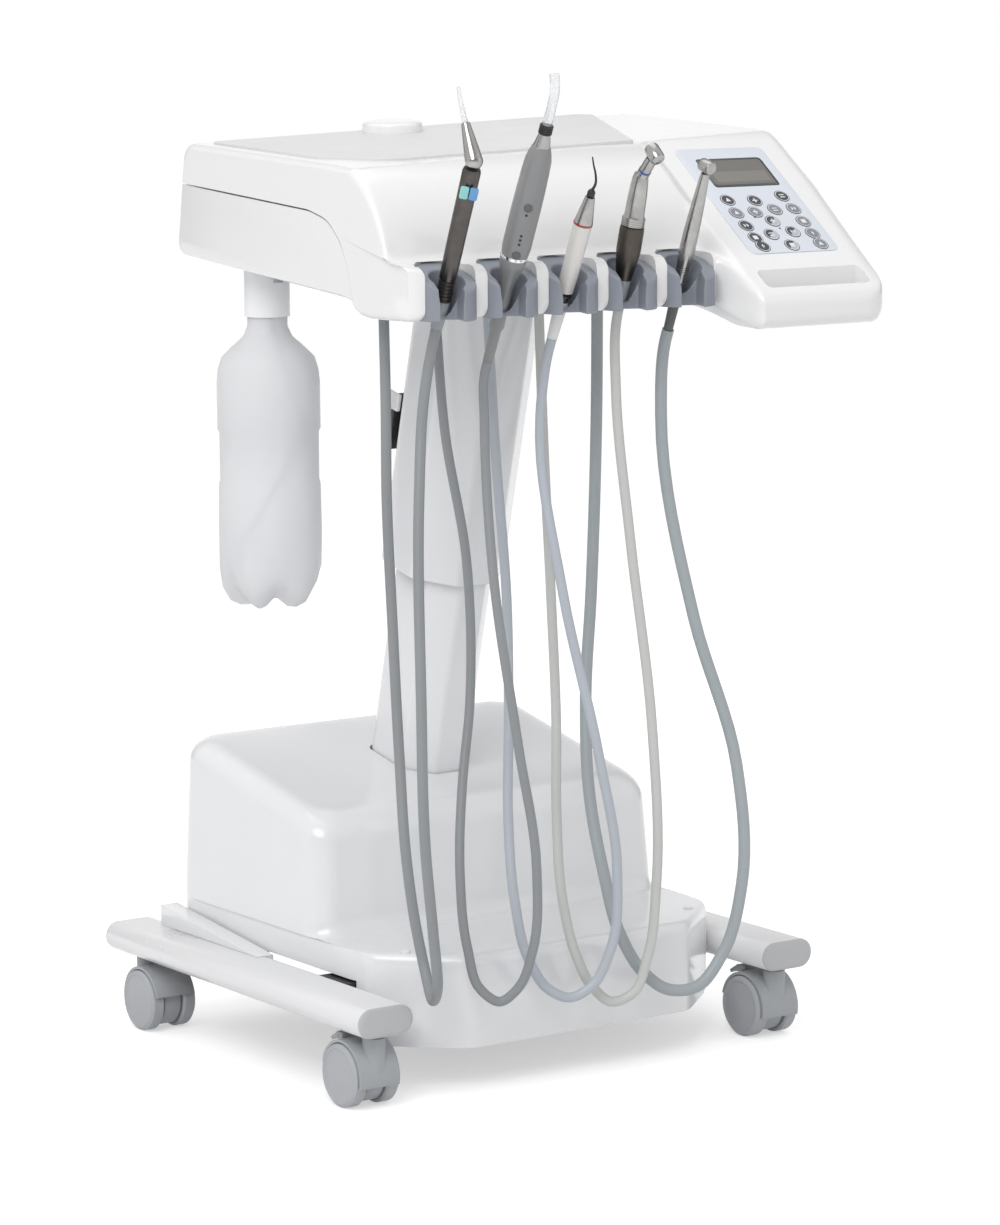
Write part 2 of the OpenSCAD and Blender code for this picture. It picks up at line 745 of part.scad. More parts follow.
module syringe_body() {
    color("dimgray") placed() in_holder(0) difference() {
        turned([[0, -34], [4.6, -34], [5.6, -11], [6.4, -10.8], [6.8, 20],
            [7.6, 84], [7.6, 96], [6, 100], [0, 100]]);
        for (x = [-3.6, 3.6]) rotate([0, 0, -syringe_turn])
            translate([x, -11.6, 82]) rotate([-90, 0, 0]) cylinder(r = 3.1, h = 8.2);
    }
}

// Round stem in the body with a block for the thumb on it
module syringe_button(x, c) {
    color(c) placed() in_holder(0) rotate([0, 0, -syringe_turn]) translate([x, 0, 82]) rotate([-90, 0, 0]) {
        bar(2.8, -9.6, -5.2);
        translate([0, 0, -11.5]) linear_extrude(2.1) polygon(round_rect(6.4, 10, 1.5));
    }
}
module syringe_air_button() syringe_button(-3.6, "turquoise");
module syringe_water_button() syringe_button(3.6, "dodgerblue");

// Ball bend, metal cone and clear tip
module syringe_nozzle() {
    color("silver") placed() in_holder(0) translate([0, 0, 106.8]) {
        bar(3, -6.6, 0);
        sphere(r = 6.4);
        rotate([-44, 0, 0]) turned([
            [0, 0], [6.4, 0.3], [5.4, 7], [2.8, 26], [2.3, 27], [1.9, 41], [1.3, 55], [0, 55]]);
    }
}

module curing_light_body() {
    color("silver") placed() in_holder(1) difference() {
        turned([[0, -66], [4, -66], [4.6, -40], [5.4, -38], [5.6, -12], [7.6, 4], [9.4, 20], [10.8, 30],
            [11.4, 60], [11.2, 100], [10.2, 107], [7.2, 110], [6.2, 126], [0, 126]]);
        for (z = light_buttons) rotate([0, 0, -light_turn])
            translate([0, -13, z]) rotate([-90, 0, 0]) cylinder(r = 3.7, h = 5);
    }
}

module light_key(z) color("dimgray") placed() in_holder(1) rotate([0, 0, -light_turn])
    translate([0, -12, z]) rotate([-90, 0, 0]) cylinder(r = 3.4, h = 3.2);
module light_button() light_key(light_buttons[0]);
module light_mode_button() light_key(light_buttons[1]);

// Clear rod that bends towards its end
module light_guide() {
    color("white") placed() in_holder(1) {
        bar(5.4, 126.3, 134);
        hose(guide_route, 3.9, 12);
    }
}

module scaler_body() {
    color("white") placed() in_holder(2) turned([
        [0, -50], [4.2, -50], [5.2, -20], [4.4, -18], [4.4, -10], [6.4, -9],
        [6.8, 0], [7, 44], [7, 50], [3.6, 74], [0, 74]]);
}

// Nut and hooked tip
module scaler_tip() {
    color("black") placed() in_holder(2) {
        bar(2.4, 74.2, 79);
        hose(scaler_route, 1.1);
    }
}

module air_motor() {
    color("saddlebrown") placed() in_holder(3) turned([
        [0, -26], [4.2, -26], [5, -8], [7.2, 4], [9.2, 18], [8.6, 42], [0, 42]]);
}

// Handpiece that turns on the motor's nose
module contra_angle() {
    color("silver") placed() in_holder(3) {
        turned([[0, 42.3], [8.4, 42.3], [8.4, 46], [7.8, 48], [7.2, 74], [6, 82], [0, 84]]);
        translate([0, 0, 80]) rotate([28, 0, 0]) {
            bar(4.9, -2, 22);
            translate([0, 7, 27]) rotate([90, 0, 0]) cylinder(r = 5.9, h = 14);
        }
    }
}

module turbine_handpiece() {
    color("silver") placed() in_holder(4) {
        turned([[0, -48], [3.8, -48], [4.5, -8], [4.1, -6], [4.1, 2], [5, 3],
            [6.2, 18], [6, 34], [3.8, 80], [3.2, 84], [0, 86]]);
        translate([0, 6.5, 91]) rotate([86, 0, 0]) cylinder(r = 5.3, h = 13);
        bar(3, 80, 90);
    }
}

// ---- hoses ----

// Sweeps a round tube with flat ends along a route that never runs along Y
module hose(route, r, sides = 8) {
    n = len(route);
    points = [for (i = [0:n - 1]) let (
        t = dir(route[min(i + 1, n - 1)] - route[max(i - 1, 0)]),
        a = dir(cross(t, [0, 1, 0])), b = cross(t, a))
        for (k = [0:sides - 1]) route[i] + r * (a * cos(360 * k / sides) + b * sin(360 * k / sides))];
    skin = [for (i = [0:n - 2], k = [0:sides - 1]) let (p = i * sides + k, q = i * sides + (k + 1) % sides)
        each [[p, p + sides, q], [q, p + sides, q + sides]]];
    ends = [[for (k = [0:sides - 1]) k], [for (k = [sides - 1:-1:0]) (n - 1) * sides + k]];
    polyhedron(points, concat(skin, ends));
}
function dir(v) = v / norm(v);

module hose_syringe() color("gray") placed() hose(route_syringe, 4.2);
module hose_curing_light() color("gray") placed() hose(route_light, 3.8);
module hose_scaler() color("lightsteelblue") placed() hose(route_scaler, 4);
module hose_air_motor() color("lightgray") placed() hose(route_motor, 4);
module hose_turbine() color("darkgray") placed() hose(route_turbine, 4.8);

// ---- stations and routes, chosen by hand ----

// Tilt of each instrument to the front, and its shift from the holder's middle
tips = [22.5, 24, 25, 16, 21.5];
shifts = [0, 0, 0, 4, 5];
// Radii of a holder's funnel bore
bore_low = 8;
bore_mid = 11;
bore_high = 15;

// Key centres on the overlay, from its lower left corner
keys = [[16, 66], [42, 64], [72, 68], [15, 50], [34, 50], [55, 52], [74, 52], [15, 34], [44, 38], [74, 36],
    [15, 19], [33, 22], [56, 24], [74, 21], [16, 5.5 + 3], [45, 8], [74, 8]];

outlet_z = 606;
// Hose glands under the head
outlets = [[-133, -161], [-85, -161], [-36, -161], [13, -161], [70, -161]];

dip_route = [[0, 0, 598.8], [14, -9, 545], [25, -17, 498], [3, -2, 450], [-21, 14, 405], [-24, 16, 378]];
scaler_route = [[0, 0, 78], [0, -2, 85], [0, 1, 91], [0, 6, 96], [0, 10, 101]];
guide_route = [[0, 0, 133], [0, 0, 150], [0, 0.5, 158], [0, 3, 166], [0, 7, 174]];
// The curing light's keys, above the holder's middle, and how far each instrument's keys are turned
light_buttons = [69, 29];
light_turn = 30;
syringe_turn = 28;

route_syringe = [[-133, -161, 605.6], [-134, -164, 540], [-136, -167, 463], [-138, -176, 370],
    [-147, -198, 264], [-156, -220, 190], [-156, -232, 140], [-153, -240, 105], [-161, -262, 87],
    [-172, -286, 103], [-178, -290, 146], [-179, -282, 210], [-167, -260, 321], [-146, -228, 471],
    [-133, -217, 548], [-132.5, -229.4, 589.5], [-132.5, -233.9, 600.3]];
route_light = [[-85, -161, 605.6], [-80, -165, 513], [-64, -170, 410], [-76, -191, 302],
    [-97, -210, 236], [-115, -233, 177], [-120, -250, 120], [-114, -259, 88], [-101, -266, 78],
    [-89, -273, 88], [-79, -279, 117], [-73, -277, 180], [-82, -266, 278], [-84, -238, 400],
    [-75, -213, 525], [-76, -215.3, 560.7], [-76, -220, 571.4]];
route_scaler = [[-36, -161, 605.6], [-33, -166, 495], [-30, -176, 375], [-42, -195, 284],
    [-61, -221, 210], [-72, -245, 151], [-66, -254, 106], [-50, -261, 79], [-34, -266, 72],
    [-18, -272, 80], [-4, -278, 108], [3, -278, 170], [-7, -268, 262], [-24, -245, 388],
    [-23, -214, 525], [-19.5, -220.8, 575.8], [-19.5, -225.7, 586.4]];
route_motor = [[13, -161, 605.6], [14, -165, 500], [13, -176, 370], [3, -196, 279], [-16, -223, 205],
    [-27, -246, 146], [-20, -254, 102], [-8, -260, 75], [6, -266, 63], [21, -272, 68], [33, -277, 98],
    [41, -278, 155], [46, -266, 280], [40, -246, 426], [36, -233, 545], [37, -232.5, 595.5],
    [37, -235.7, 606.7]];
route_turbine = [[70, -161, 605.6], [66, -165, 520], [52, -176, 375], [34, -193, 292], [20, -218, 216],
    [16, -241, 163], [24, -253, 112], [40, -260, 82], [62, -266, 65], [84, -272, 65], [108, -276, 90],
    [125, -279, 145], [126, -271, 240], [99, -250, 360], [88, -222, 520], [93.5, -220, 576.2],
    [93.5, -224.3, 587]];

chassis_frame();
side_rails();
rail_end_caps();
base_cover();
rail_saddles();
cover_screws();
power_supply();
air_regulator();
rear_inlet_panel();
caster_stems();
mast_tube();
glide_bushes();
lower_sleeve();
gas_spring_cylinder();
gas_spring_rod();
sliding_tube();
upper_sleeve();
release_lever();
head_lower_shell();
head_top_shell();
tray_panel();
post_socket_cap();
console_housing();
keypad_overlay();
display_module();
control_board();
valve_block();
instrument_holders();
hose_outlets();
bottle_cap();
dip_tube();
water_bottle();
syringe_body();
syringe_nozzle();
syringe_air_button();
syringe_water_button();
curing_light_body();
light_guide();
light_button();
light_mode_button();
scaler_body();
scaler_tip();
air_motor();
contra_angle();
turbine_handpiece();
hose_syringe();
hose_curing_light();
hose_scaler();
hose_air_motor();
hose_turbine();
caster_hood_fl();
caster_hood_fr();
caster_hood_rl();
caster_hood_rr();
caster_wheels_fl();
caster_wheels_fr();
caster_wheels_rl();
caster_wheels_rr();
brake_lever_fl();
brake_lever_fr();
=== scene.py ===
"""Builds the looks of a portable dental unit around its packed construction model."""

import math

import bmesh
import bpy
from bpy.props import FloatProperty, FloatVectorProperty, IntProperty, PointerProperty
from mathutils import Matrix, Vector
from mathutils.geometry import interpolate_bezier


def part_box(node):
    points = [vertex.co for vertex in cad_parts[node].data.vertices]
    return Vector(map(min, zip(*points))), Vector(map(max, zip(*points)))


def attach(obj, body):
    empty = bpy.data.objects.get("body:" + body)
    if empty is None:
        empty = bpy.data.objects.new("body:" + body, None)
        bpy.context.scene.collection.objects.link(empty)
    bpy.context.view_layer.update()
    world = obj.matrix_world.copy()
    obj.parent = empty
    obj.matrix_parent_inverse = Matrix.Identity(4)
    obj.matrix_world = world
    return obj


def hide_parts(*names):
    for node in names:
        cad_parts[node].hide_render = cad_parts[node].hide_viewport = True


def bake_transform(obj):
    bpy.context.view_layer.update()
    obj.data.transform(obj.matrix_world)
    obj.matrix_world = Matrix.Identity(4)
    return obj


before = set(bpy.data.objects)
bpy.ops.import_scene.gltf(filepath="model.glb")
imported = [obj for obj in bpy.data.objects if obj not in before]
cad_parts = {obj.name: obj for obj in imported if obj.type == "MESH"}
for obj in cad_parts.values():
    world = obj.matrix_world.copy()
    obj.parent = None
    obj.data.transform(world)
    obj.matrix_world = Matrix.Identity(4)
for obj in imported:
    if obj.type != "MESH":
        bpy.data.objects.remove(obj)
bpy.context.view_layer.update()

bl_info = {
    "name": "Portable dental unit",
    "version": (1, 0, 0),
    "blender": (4, 5, 0),
    "location": "3D View > Sidebar > Dental unit",
    "description": "Covers, instruments, hoses and finishes of a portable dental unit",
    "category": "Object",
}

# Pieces are drawn in millimetres about the middle of the two rails, with the front at -Y
MM = 0.001
RAIL_TUBE_FRONT, RAIL_TUBE_REAR = -248.0, 143.0
RAIL_X, RAIL_HEIGHT, RAIL_SECTION = 195, 72, (50, 24)
CASTER_FRONT, CASTER_REAR = -231, 118
rails_low, rails_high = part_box("side_rails")
DRAWING = Matrix.Translation((
    (rails_low.x + rails_high.x) / 2, rails_low.y - RAIL_TUBE_FRONT * MM, 0)) @ Matrix.Scale(MM, 4)


def turn(degrees, axis):
    return Matrix.Rotation(math.radians(degrees), 4, axis)


def move(x, y, z):
    return Matrix.Translation((x, y, z))


# Local frames on the drawing, each with its Z out of the surface or along the axis
ROOF = move(0, 0, 735) @ turn(-2, "Y") @ turn(2.7, "X")
PAD = move(150, -259, 645) @ turn(37, "X")
COLUMN = move(0, -10, 235) @ turn(14.5, "X")
HOLDER_X = [-132.5 + 56.5 * i for i in range(5)]
HOLDER_Y = -247
HOLDER_LOW, HOLDER_HIGH, HOLDER_RADIUS = 607, 651, 23.5
GRIP_HEIGHT = 632  # where an instrument's axis crosses its holder
TIPS = [22.5, 24, 25, 16, 21.5]
SHIFTS = [0, 0, 0, 4, 5]
AXES = [move(x, HOLDER_Y + shift, GRIP_HEIGHT) @ turn(tip, "X")
        for x, shift, tip in zip(HOLDER_X, SHIFTS, TIPS)]
SYRINGE, LIGHT, SCALER, MOTOR, TURBINE = AXES
BOTTLE = move(-122, 30, 0)
# Frames of a drawing plane: outline X and Y become these axes, and the height the third
ALONG_X = Matrix(((0, 0, 1, 0), (1, 0, 0, 0), (0, 1, 0, 0), (0, 0, 0, 1)))
ALONG_Y = Matrix(((1, 0, 0, 0), (0, 0, 1, 0), (0, 1, 0, 0), (0, 0, 0, 1)))

# Hose routes in metres on the drawing, from the outlet under the head to the instrument
ROUTES = {
    "hose_syringe": [
        (-0.133, -0.161, 0.6056), (-0.134, -0.164, 0.540), (-0.136, -0.167, 0.463), (-0.138, -0.176, 0.370),
        (-0.147, -0.198, 0.264), (-0.156, -0.220, 0.190), (-0.156, -0.232, 0.140), (-0.153, -0.240, 0.105),
        (-0.161, -0.262, 0.087), (-0.172, -0.286, 0.103), (-0.178, -0.290, 0.146), (-0.179, -0.282, 0.210),
        (-0.167, -0.260, 0.321), (-0.146, -0.228, 0.471), (-0.133, -0.217, 0.548), (-0.1325, -0.2294, 0.5895),
        (-0.1325, -0.2339, 0.6003)],
    "hose_curing_light": [
        (-0.085, -0.161, 0.6056), (-0.080, -0.165, 0.513), (-0.064, -0.170, 0.410), (-0.076, -0.191, 0.302),
        (-0.097, -0.210, 0.236), (-0.115, -0.233, 0.177), (-0.120, -0.250, 0.120), (-0.114, -0.259, 0.088),
        (-0.101, -0.266, 0.078), (-0.089, -0.273, 0.088), (-0.079, -0.279, 0.117), (-0.073, -0.277, 0.180),
        (-0.082, -0.266, 0.278), (-0.084, -0.238, 0.400), (-0.075, -0.213, 0.525), (-0.076, -0.2153, 0.5607),
        (-0.076, -0.220, 0.5714)],
    "hose_scaler": [
        (-0.036, -0.161, 0.6056), (-0.033, -0.166, 0.495), (-0.030, -0.176, 0.375), (-0.042, -0.195, 0.284),
        (-0.061, -0.221, 0.210), (-0.072, -0.245, 0.151), (-0.066, -0.254, 0.106), (-0.050, -0.261, 0.079),
        (-0.034, -0.266, 0.072), (-0.018, -0.272, 0.080), (-0.004, -0.278, 0.108), (0.003, -0.278, 0.170),
        (-0.007, -0.268, 0.262), (-0.024, -0.245, 0.388), (-0.023, -0.214, 0.525), (-0.0195, -0.2208, 0.5758),
        (-0.0195, -0.2257, 0.5864)],
    "hose_air_motor": [
        (0.013, -0.161, 0.6056), (0.014, -0.165, 0.500), (0.013, -0.176, 0.370), (0.003, -0.196, 0.279),
        (-0.016, -0.223, 0.205), (-0.027, -0.246, 0.146), (-0.020, -0.254, 0.102), (-0.008, -0.260, 0.075),
        (0.006, -0.266, 0.063), (0.021, -0.272, 0.068), (0.033, -0.277, 0.098), (0.041, -0.278, 0.155),
        (0.046, -0.266, 0.280), (0.040, -0.246, 0.426), (0.036, -0.233, 0.545), (0.037, -0.2325, 0.5955),
        (0.037, -0.2357, 0.6067)],
    "hose_turbine": [
        (0.070, -0.161, 0.6056), (0.066, -0.165, 0.520), (0.052, -0.176, 0.375), (0.034, -0.193, 0.292),
        (0.020, -0.218, 0.216), (0.016, -0.241, 0.163), (0.024, -0.253, 0.112), (0.040, -0.260, 0.082),
        (0.062, -0.266, 0.065), (0.084, -0.272, 0.065), (0.108, -0.276, 0.090), (0.125, -0.279, 0.145),
        (0.126, -0.271, 0.240), (0.099, -0.250, 0.360), (0.088, -0.222, 0.520), (0.0935, -0.220, 0.5762),
        (0.0935, -0.2243, 0.587)],
}


# ---- values that a user would change ----

def colour_value(name, description, value):
    return FloatVectorProperty(
        name=name, description=description, default=value, size=3, min=0, max=1, subtype="COLOR")


class DentalUnitColours(bpy.types.PropertyGroup):
    cover: colour_value("Base cover", "Gloss white of the base cover and sleeves", (0.80, 0.805, 0.82))
    shell: colour_value("Head shells", "Gloss white of the head and console", (0.84, 0.84, 0.84))
    rail: colour_value("Rails", "Powder coat on the rails", (0.80, 0.80, 0.81))
    tray: colour_value("Work surface", "Grey of the panel on the roof", (0.70, 0.70, 0.70))
    trim: colour_value("Trim", "Light grey of the end caps", (0.50, 0.505, 0.52))
    caster: colour_value("Caster hoods", "Light grey nylon", (0.38, 0.395, 0.41))
    tread: colour_value("Caster wheels", "Grey of the wheels", (0.44, 0.455, 0.48))
    holder: colour_value("Holders", "Blue grey of the instrument holders", (0.265, 0.285, 0.330))
    film: colour_value("Keypad film", "Pale blue grey of the keypad", (0.70, 0.735, 0.80))
    bezel: colour_value("Display bezel", "Dark frame of the display", (0.055, 0.055, 0.06))
    screen: colour_value("Display", "Unlit display", (0.125, 0.118, 0.104))
    key_dark: colour_value("Dark keys", "Dark print on the keypad", (0.055, 0.058, 0.07))
    key_grey: colour_value("Grey keys", "Grey print on the keypad", (0.24, 0.25, 0.29))
    bottle: colour_value("Bottle", "Frosted white plastic", (0.93, 0.935, 0.95))
    gunmetal: colour_value("Syringe", "Dark satin steel", (0.105, 0.097, 0.092))
    steel: colour_value("Steel", "Satin steel of the handpieces", (0.40, 0.395, 0.385))
    motor: colour_value("Motor", "Brown grey of the motor", (0.090, 0.080, 0.069))
    light: colour_value("Curing light", "Mid grey of the curing light", (0.245, 0.248, 0.252))
    hose_dark: colour_value("Dark hoses", "Grey silicone", (0.27, 0.285, 0.295))
    hose_mid: colour_value("Mid hoses", "Blue grey silicone", (0.456, 0.491, 0.539))
    hose_blue: colour_value("Wide hose", "Blue grey silicone of the widest hose", (0.366, 0.402, 0.418))
    hose_pale: colour_value("Pale hoses", "Pale grey silicone", (0.56, 0.57, 0.55))


class DentalUnitSizes(bpy.types.PropertyGroup):
    holder_voxel: FloatProperty(
        name="Holder detail", description="Step of a holder's mesh", default=0.0009, min=0.0006,
        unit="LENGTH")
    seam: FloatProperty(
        name="Seam", description="Width of the seam round the head", default=0.0014, min=0.0005,
        unit="LENGTH")
    ring_steps: IntProperty(
        name="Turning steps", description="Faces round a turned piece", default=48, min=24, max=96)


def colours():
    return bpy.context.scene.dental_unit_colours


def sizes():
    return bpy.context.scene.dental_unit_sizes


# ---- outlines ----

def arc(x, y, radius, start, end, steps=8):
    angles = [math.radians(start + (end - start) * i / steps) for i in range(steps + 1)]
    return [(x + radius * math.cos(a), y + radius * math.sin(a)) for a in angles]


def rounded_rectangle(width, depth, radius, steps=6):
    x, y = width / 2 - radius, depth / 2 - radius
    return (arc(x, y, radius, 0, 90, steps) + arc(-x, y, radius, 90, 180, steps)
            + arc(-x, -y, radius, 180, 270, steps) + arc(x, -y, radius, 270, 360, steps))


def oval(width, height, steps=16):
    half = (width - height) / 2
    return arc(half, 0, height / 2, -90, 90, steps) + arc(-half, 0, height / 2, 90, 270, steps)


def circle(radius, steps=48):
    return arc(0, 0, radius, 0, 360 - 360 / steps, steps - 1)


# ---- mesh tools ----

FINISHES = {}  # by name, filled by make_finishes


def shifted(outline, x, y):
    return [(a + x, b + y) for a, b in outline]


def prism(bm, outline, place, low, high):
    """Extrudes an outline drawn in place's X and Y from low to high along its Z."""
    face = bm.faces.new([bm.verts.new(place @ Vector((x, y, low))) for x, y in outline])
    grown = bmesh.ops.extrude_face_region(bm, geom=[face])["geom"]
    ends = [v for v in grown if isinstance(v, bmesh.types.BMVert)]
    bmesh.ops.translate(bm, verts=ends, vec=place.to_3x3() @ Vector((0, 0, high - low)))
    return ends


def lathe(bm, profile, place, steps=None, angle=360):
    """Turns a profile of (radius, height) points about place's Z."""
    verts = [bm.verts.new(place @ Vector((radius, 0, height))) for radius, height in profile]
    edges = [bm.edges.new(pair) for pair in zip(verts, verts[1:])]
    bmesh.ops.spin(
        bm, geom=verts + edges, cent=place.translation, axis=place.to_3x3() @ Vector((0, 0, 1)),
        angle=math.radians(angle), steps=steps or sizes().ring_steps, use_merge=angle == 360)
    bmesh.ops.remove_doubles(bm, verts=bm.verts, dist=0.0005)


def ball(bm, radius, place, steps=24):
    bmesh.ops.create_uvsphere(bm, u_segments=steps, v_segments=steps // 2, radius=radius, matrix=place)


def soften(bm, width, segments=3, angle=30, where=None):
    """Rounds the edges sharper than angle."""
    bmesh.ops.recalc_face_normals(bm, faces=bm.faces)
    limit = math.radians(angle)
    edges = [e for e in bm.edges if len(e.link_faces) == 2 and e.calc_face_angle(0) > limit
             and (where is None or where(e))]
    bmesh.ops.bevel(
        bm, geom=edges, offset=width, offset_type="OFFSET", segments=segments, profile=0.5,
        affect="EDGES", clamp_overlap=True, material=-1)


def smooth_line(points, steps=8):
    """A smooth line through the points, with speeds that follow their spacing."""
    points = [Vector(p) for p in points]
    gaps = [(b - a).length for a, b in zip(points, points[1:])]
    speeds = [(points[1] - points[0]) / gaps[0]]
    for i in range(1, len(points) - 1):
        before, after = gaps[i - 1], gaps[i]
        speeds.append(((points[i] - points[i - 1]) / before * after
                       + (points[i + 1] - points[i]) / after * before) / (before + after))
    speeds.append((points[-1] - points[-2]) / gaps[-1])
    line = []
    for i, gap in enumerate(gaps):
        piece = interpolate_bezier(
            points[i], points[i] + speeds[i] * gap / 3, points[i + 1] - speeds[i + 1] * gap / 3,
            points[i + 1], steps + 1)
        line += piece if i == 0 else piece[1:]
    return line


def tube(bm, points, radius, sides=16, end_radius=None):
    """Sweeps a round tube with closed ends along the points."""
    end_radius = radius if end_radius is None else end_radius
    rings = []
    across = Vector((1, 0, 0))
    for i, point in enumerate(points):
        along = (points[min(i + 1, len(points) - 1)] - points[max(i - 1, 0)]).normalized()
        across = (across - along * across.dot(along)).normalized()
        place = Matrix.Translation(point) @ Matrix((across, along.cross(across), along)).transposed().to_4x4()
        size = radius + (end_radius - radius) * i / (len(points) - 1)
        made = bmesh.ops.create_circle(bm, segments=sides, radius=size, matrix=place)["verts"]
        rings.append([bm.edges.get((a, b)) for a, b in zip(made, made[1:] + made[:1])])
    for before, after in zip(rings, rings[1:]):
        bmesh.ops.bridge_loops(bm, edges=before + after)
    for ring in (rings[0], rings[-1]):
        bmesh.ops.contextual_create(bm, geom=ring)


def solid(build, *values):
    """A loose object in millimetres, made by a function that draws into a bmesh."""
    bm = bmesh.new()
    build(bm, *values)
    bmesh.ops.recalc_face_normals(bm, faces=bm.faces)
    mesh = bpy.data.meshes.new("part")
    bm.to_mesh(mesh)
    bm.free()
    part = bpy.data.objects.new("part", mesh)
    bpy.context.scene.collection.objects.link(part)
    return part


def bake(part):
    """Applies the object's modifiers."""
    bpy.context.view_layer.update()
    mesh = bpy.data.meshes.new_from_object(part.evaluated_get(bpy.context.evaluated_depsgraph_get()))
    part.modifiers.clear()
    part.data = mesh
    return part


def combine(part, tool, operation="DIFFERENCE", solver="EXACT"):
    """Applies a boolean and deletes the tool."""
    boolean = part.modifiers.new("Cut", "BOOLEAN")
    boolean.operation, boolean.solver, boolean.object = operation, solver, tool
    bake(part)
    bpy.data.objects.remove(tool)
    return part


def join(part, *others):
    bm = bmesh.new()
    for one in (part, *others):
        bm.from_mesh(one.data)
    bm.to_mesh(part.data)
    bm.free()
    for one in others:
        bpy.data.objects.remove(one)
    return part


def remesh(part, step, passes):
    """Melts the overlapping solids of a part into one skin and smooths it."""
    voxels = part.modifiers.new("Skin", "REMESH")
    voxels.mode, voxels.voxel_size = "VOXEL", step / MM
    smooth = part.modifiers.new("Smooth", "SMOOTH")
    smooth.factor, smooth.iterations = 0.5, passes
    return bake(part)


def settle(part, name, body, looks, replaces=(), angle=35, flip=True):
    """Puts a drawn part in its place, in metres, with the named finishes, and hands it to its body."""
    bm = bmesh.new()
    bm.from_mesh(part.data)
    if flip:
        bmesh.ops.recalc_face_normals(bm, faces=bm.faces)
    limit = math.radians(angle)
    for face in bm.faces:
        face.smooth = True
    for edge in bm.edges:
        edge.smooth = not (len(edge.link_faces) == 2 and edge.calc_face_angle(0) > limit)
    mesh = bpy.data.meshes.new(name)
    bm.to_mesh(mesh)
    bm.free()
    mesh.transform(DRAWING)
    for look in [looks] if isinstance(looks, str) else looks:
        mesh.materials.append(FINISHES[look])
    piece = bpy.data.objects.new(name, mesh)
    bpy.context.scene.collection.objects.link(piece)
    bpy.data.objects.remove(part)
    if body:
        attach(piece, body)
    if replaces:
        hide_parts(*replaces)
    return piece


# ---- finishes ----

def new_group(name, inputs, outputs):
    """A node group with its sockets, and the nodes that stand for them inside it."""
    group = bpy.data.node_groups.new(name, "ShaderNodeTree")
    for label, kind, value in inputs:
        socket = group.interface.new_socket(label, in_out="INPUT", socket_type=kind)
        if value is not None:
            socket.default_value = value
    for label, kind in outputs:
        group.interface.new_socket(label, in_out="OUTPUT", socket_type=kind)
    return group, group.nodes.new("NodeGroupInput"), group.nodes.new("NodeGroupOutput")


def node(tree, kind, links=(), **values):
    """Adds a node, sets its values and links its sockets."""
    made = tree.nodes.new(kind)
    for key, value in values.items():
        if hasattr(made, key):
            setattr(made, key, value)
        else:
            made.inputs[key.replace("_", " ")].default_value = value
    for socket, source in links:
        tree.links.new(source, made.inputs[socket])
    return made


def grain_group():
    """Fine moulded skin, with a slow drift that shows in gloss."""
    if "Moulded skin" in bpy.data.node_groups:
        return bpy.data.node_groups["Moulded skin"]
    group, inside, outside = new_group(
        "Moulded skin",
        [("Vector", "NodeSocketVector", None), ("Grain", "NodeSocketFloat", 900.0),
         ("Drift", "NodeSocketFloat", 9.0)],
        [("Height", "NodeSocketFloat"), ("Mask", "NodeSocketFloat")])
    fine, slow = [
        node(group, "ShaderNodeTexNoise",
             [("Vector", inside.outputs["Vector"]), ("Scale", inside.outputs[scale])], Detail=detail)
        for scale, detail in (("Grain", 3.0), ("Drift", 4.0))]
    group.links.new(fine.outputs["Fac"], outside.inputs["Height"])
    group.links.new(slow.outputs["Fac"], outside.inputs["Mask"])
    return group


def shade_group():
    """Mixes two close colours by a mask."""
    if "Close colours" in bpy.data.node_groups:
        return bpy.data.node_groups["Close colours"]
    group, inside, outside = new_group(
        "Close colours",
        [("Mask", "NodeSocketFloat", 0.5), ("Light", "NodeSocketColor", None),
         ("Dark", "NodeSocketColor", None)],
        [("Color", "NodeSocketColor")])
    ramp = node(group, "ShaderNodeMapRange", [("Value", inside.outputs["Mask"])], From_Min=0.3, From_Max=0.7)
    mix = node(group, "ShaderNodeMix", data_type="RGBA")
    group.links.new(ramp.outputs["Result"], mix.inputs["Factor"])
    group.links.new(inside.outputs["Light"], mix.inputs["A"])
    group.links.new(inside.outputs["Dark"], mix.inputs["B"])
    socket = next(s for s in mix.outputs if s.type == "RGBA")
    group.links.new(socket, outside.inputs["Color"])
    return group


def rings_group():
    """Turning marks: rings round the Z of the coordinates."""
    if "Turning marks" in bpy.data.node_groups:
        return bpy.data.node_groups["Turning marks"]
    group, inside, outside = new_group(
        "Turning marks",
        [("Vector", "NodeSocketVector", None), ("Pitch", "NodeSocketFloat", 3000.0)],
        [("Height", "NodeSocketFloat"), ("Mask", "NodeSocketFloat")])
    stretch = node(group, "ShaderNodeMapping", [("Vector", inside.outputs["Vector"])])
    stretch.inputs["Scale"].default_value = (0.02, 0.02, 1.0)
    lines = node(group, "ShaderNodeTexNoise", [("Vector", stretch.outputs["Vector"]),
                                              ("Scale", inside.outputs["Pitch"])], Detail=2.0)
    smear = node(group, "ShaderNodeTexNoise", [("Vector", inside.outputs["Vector"])], Scale=120.0, Detail=3.0)
    group.links.new(lines.outputs["Fac"], outside.inputs["Height"])
    group.links.new(smear.outputs["Fac"], outside.inputs["Mask"])
    return group


RELIEF_DEPTH = 0.0003


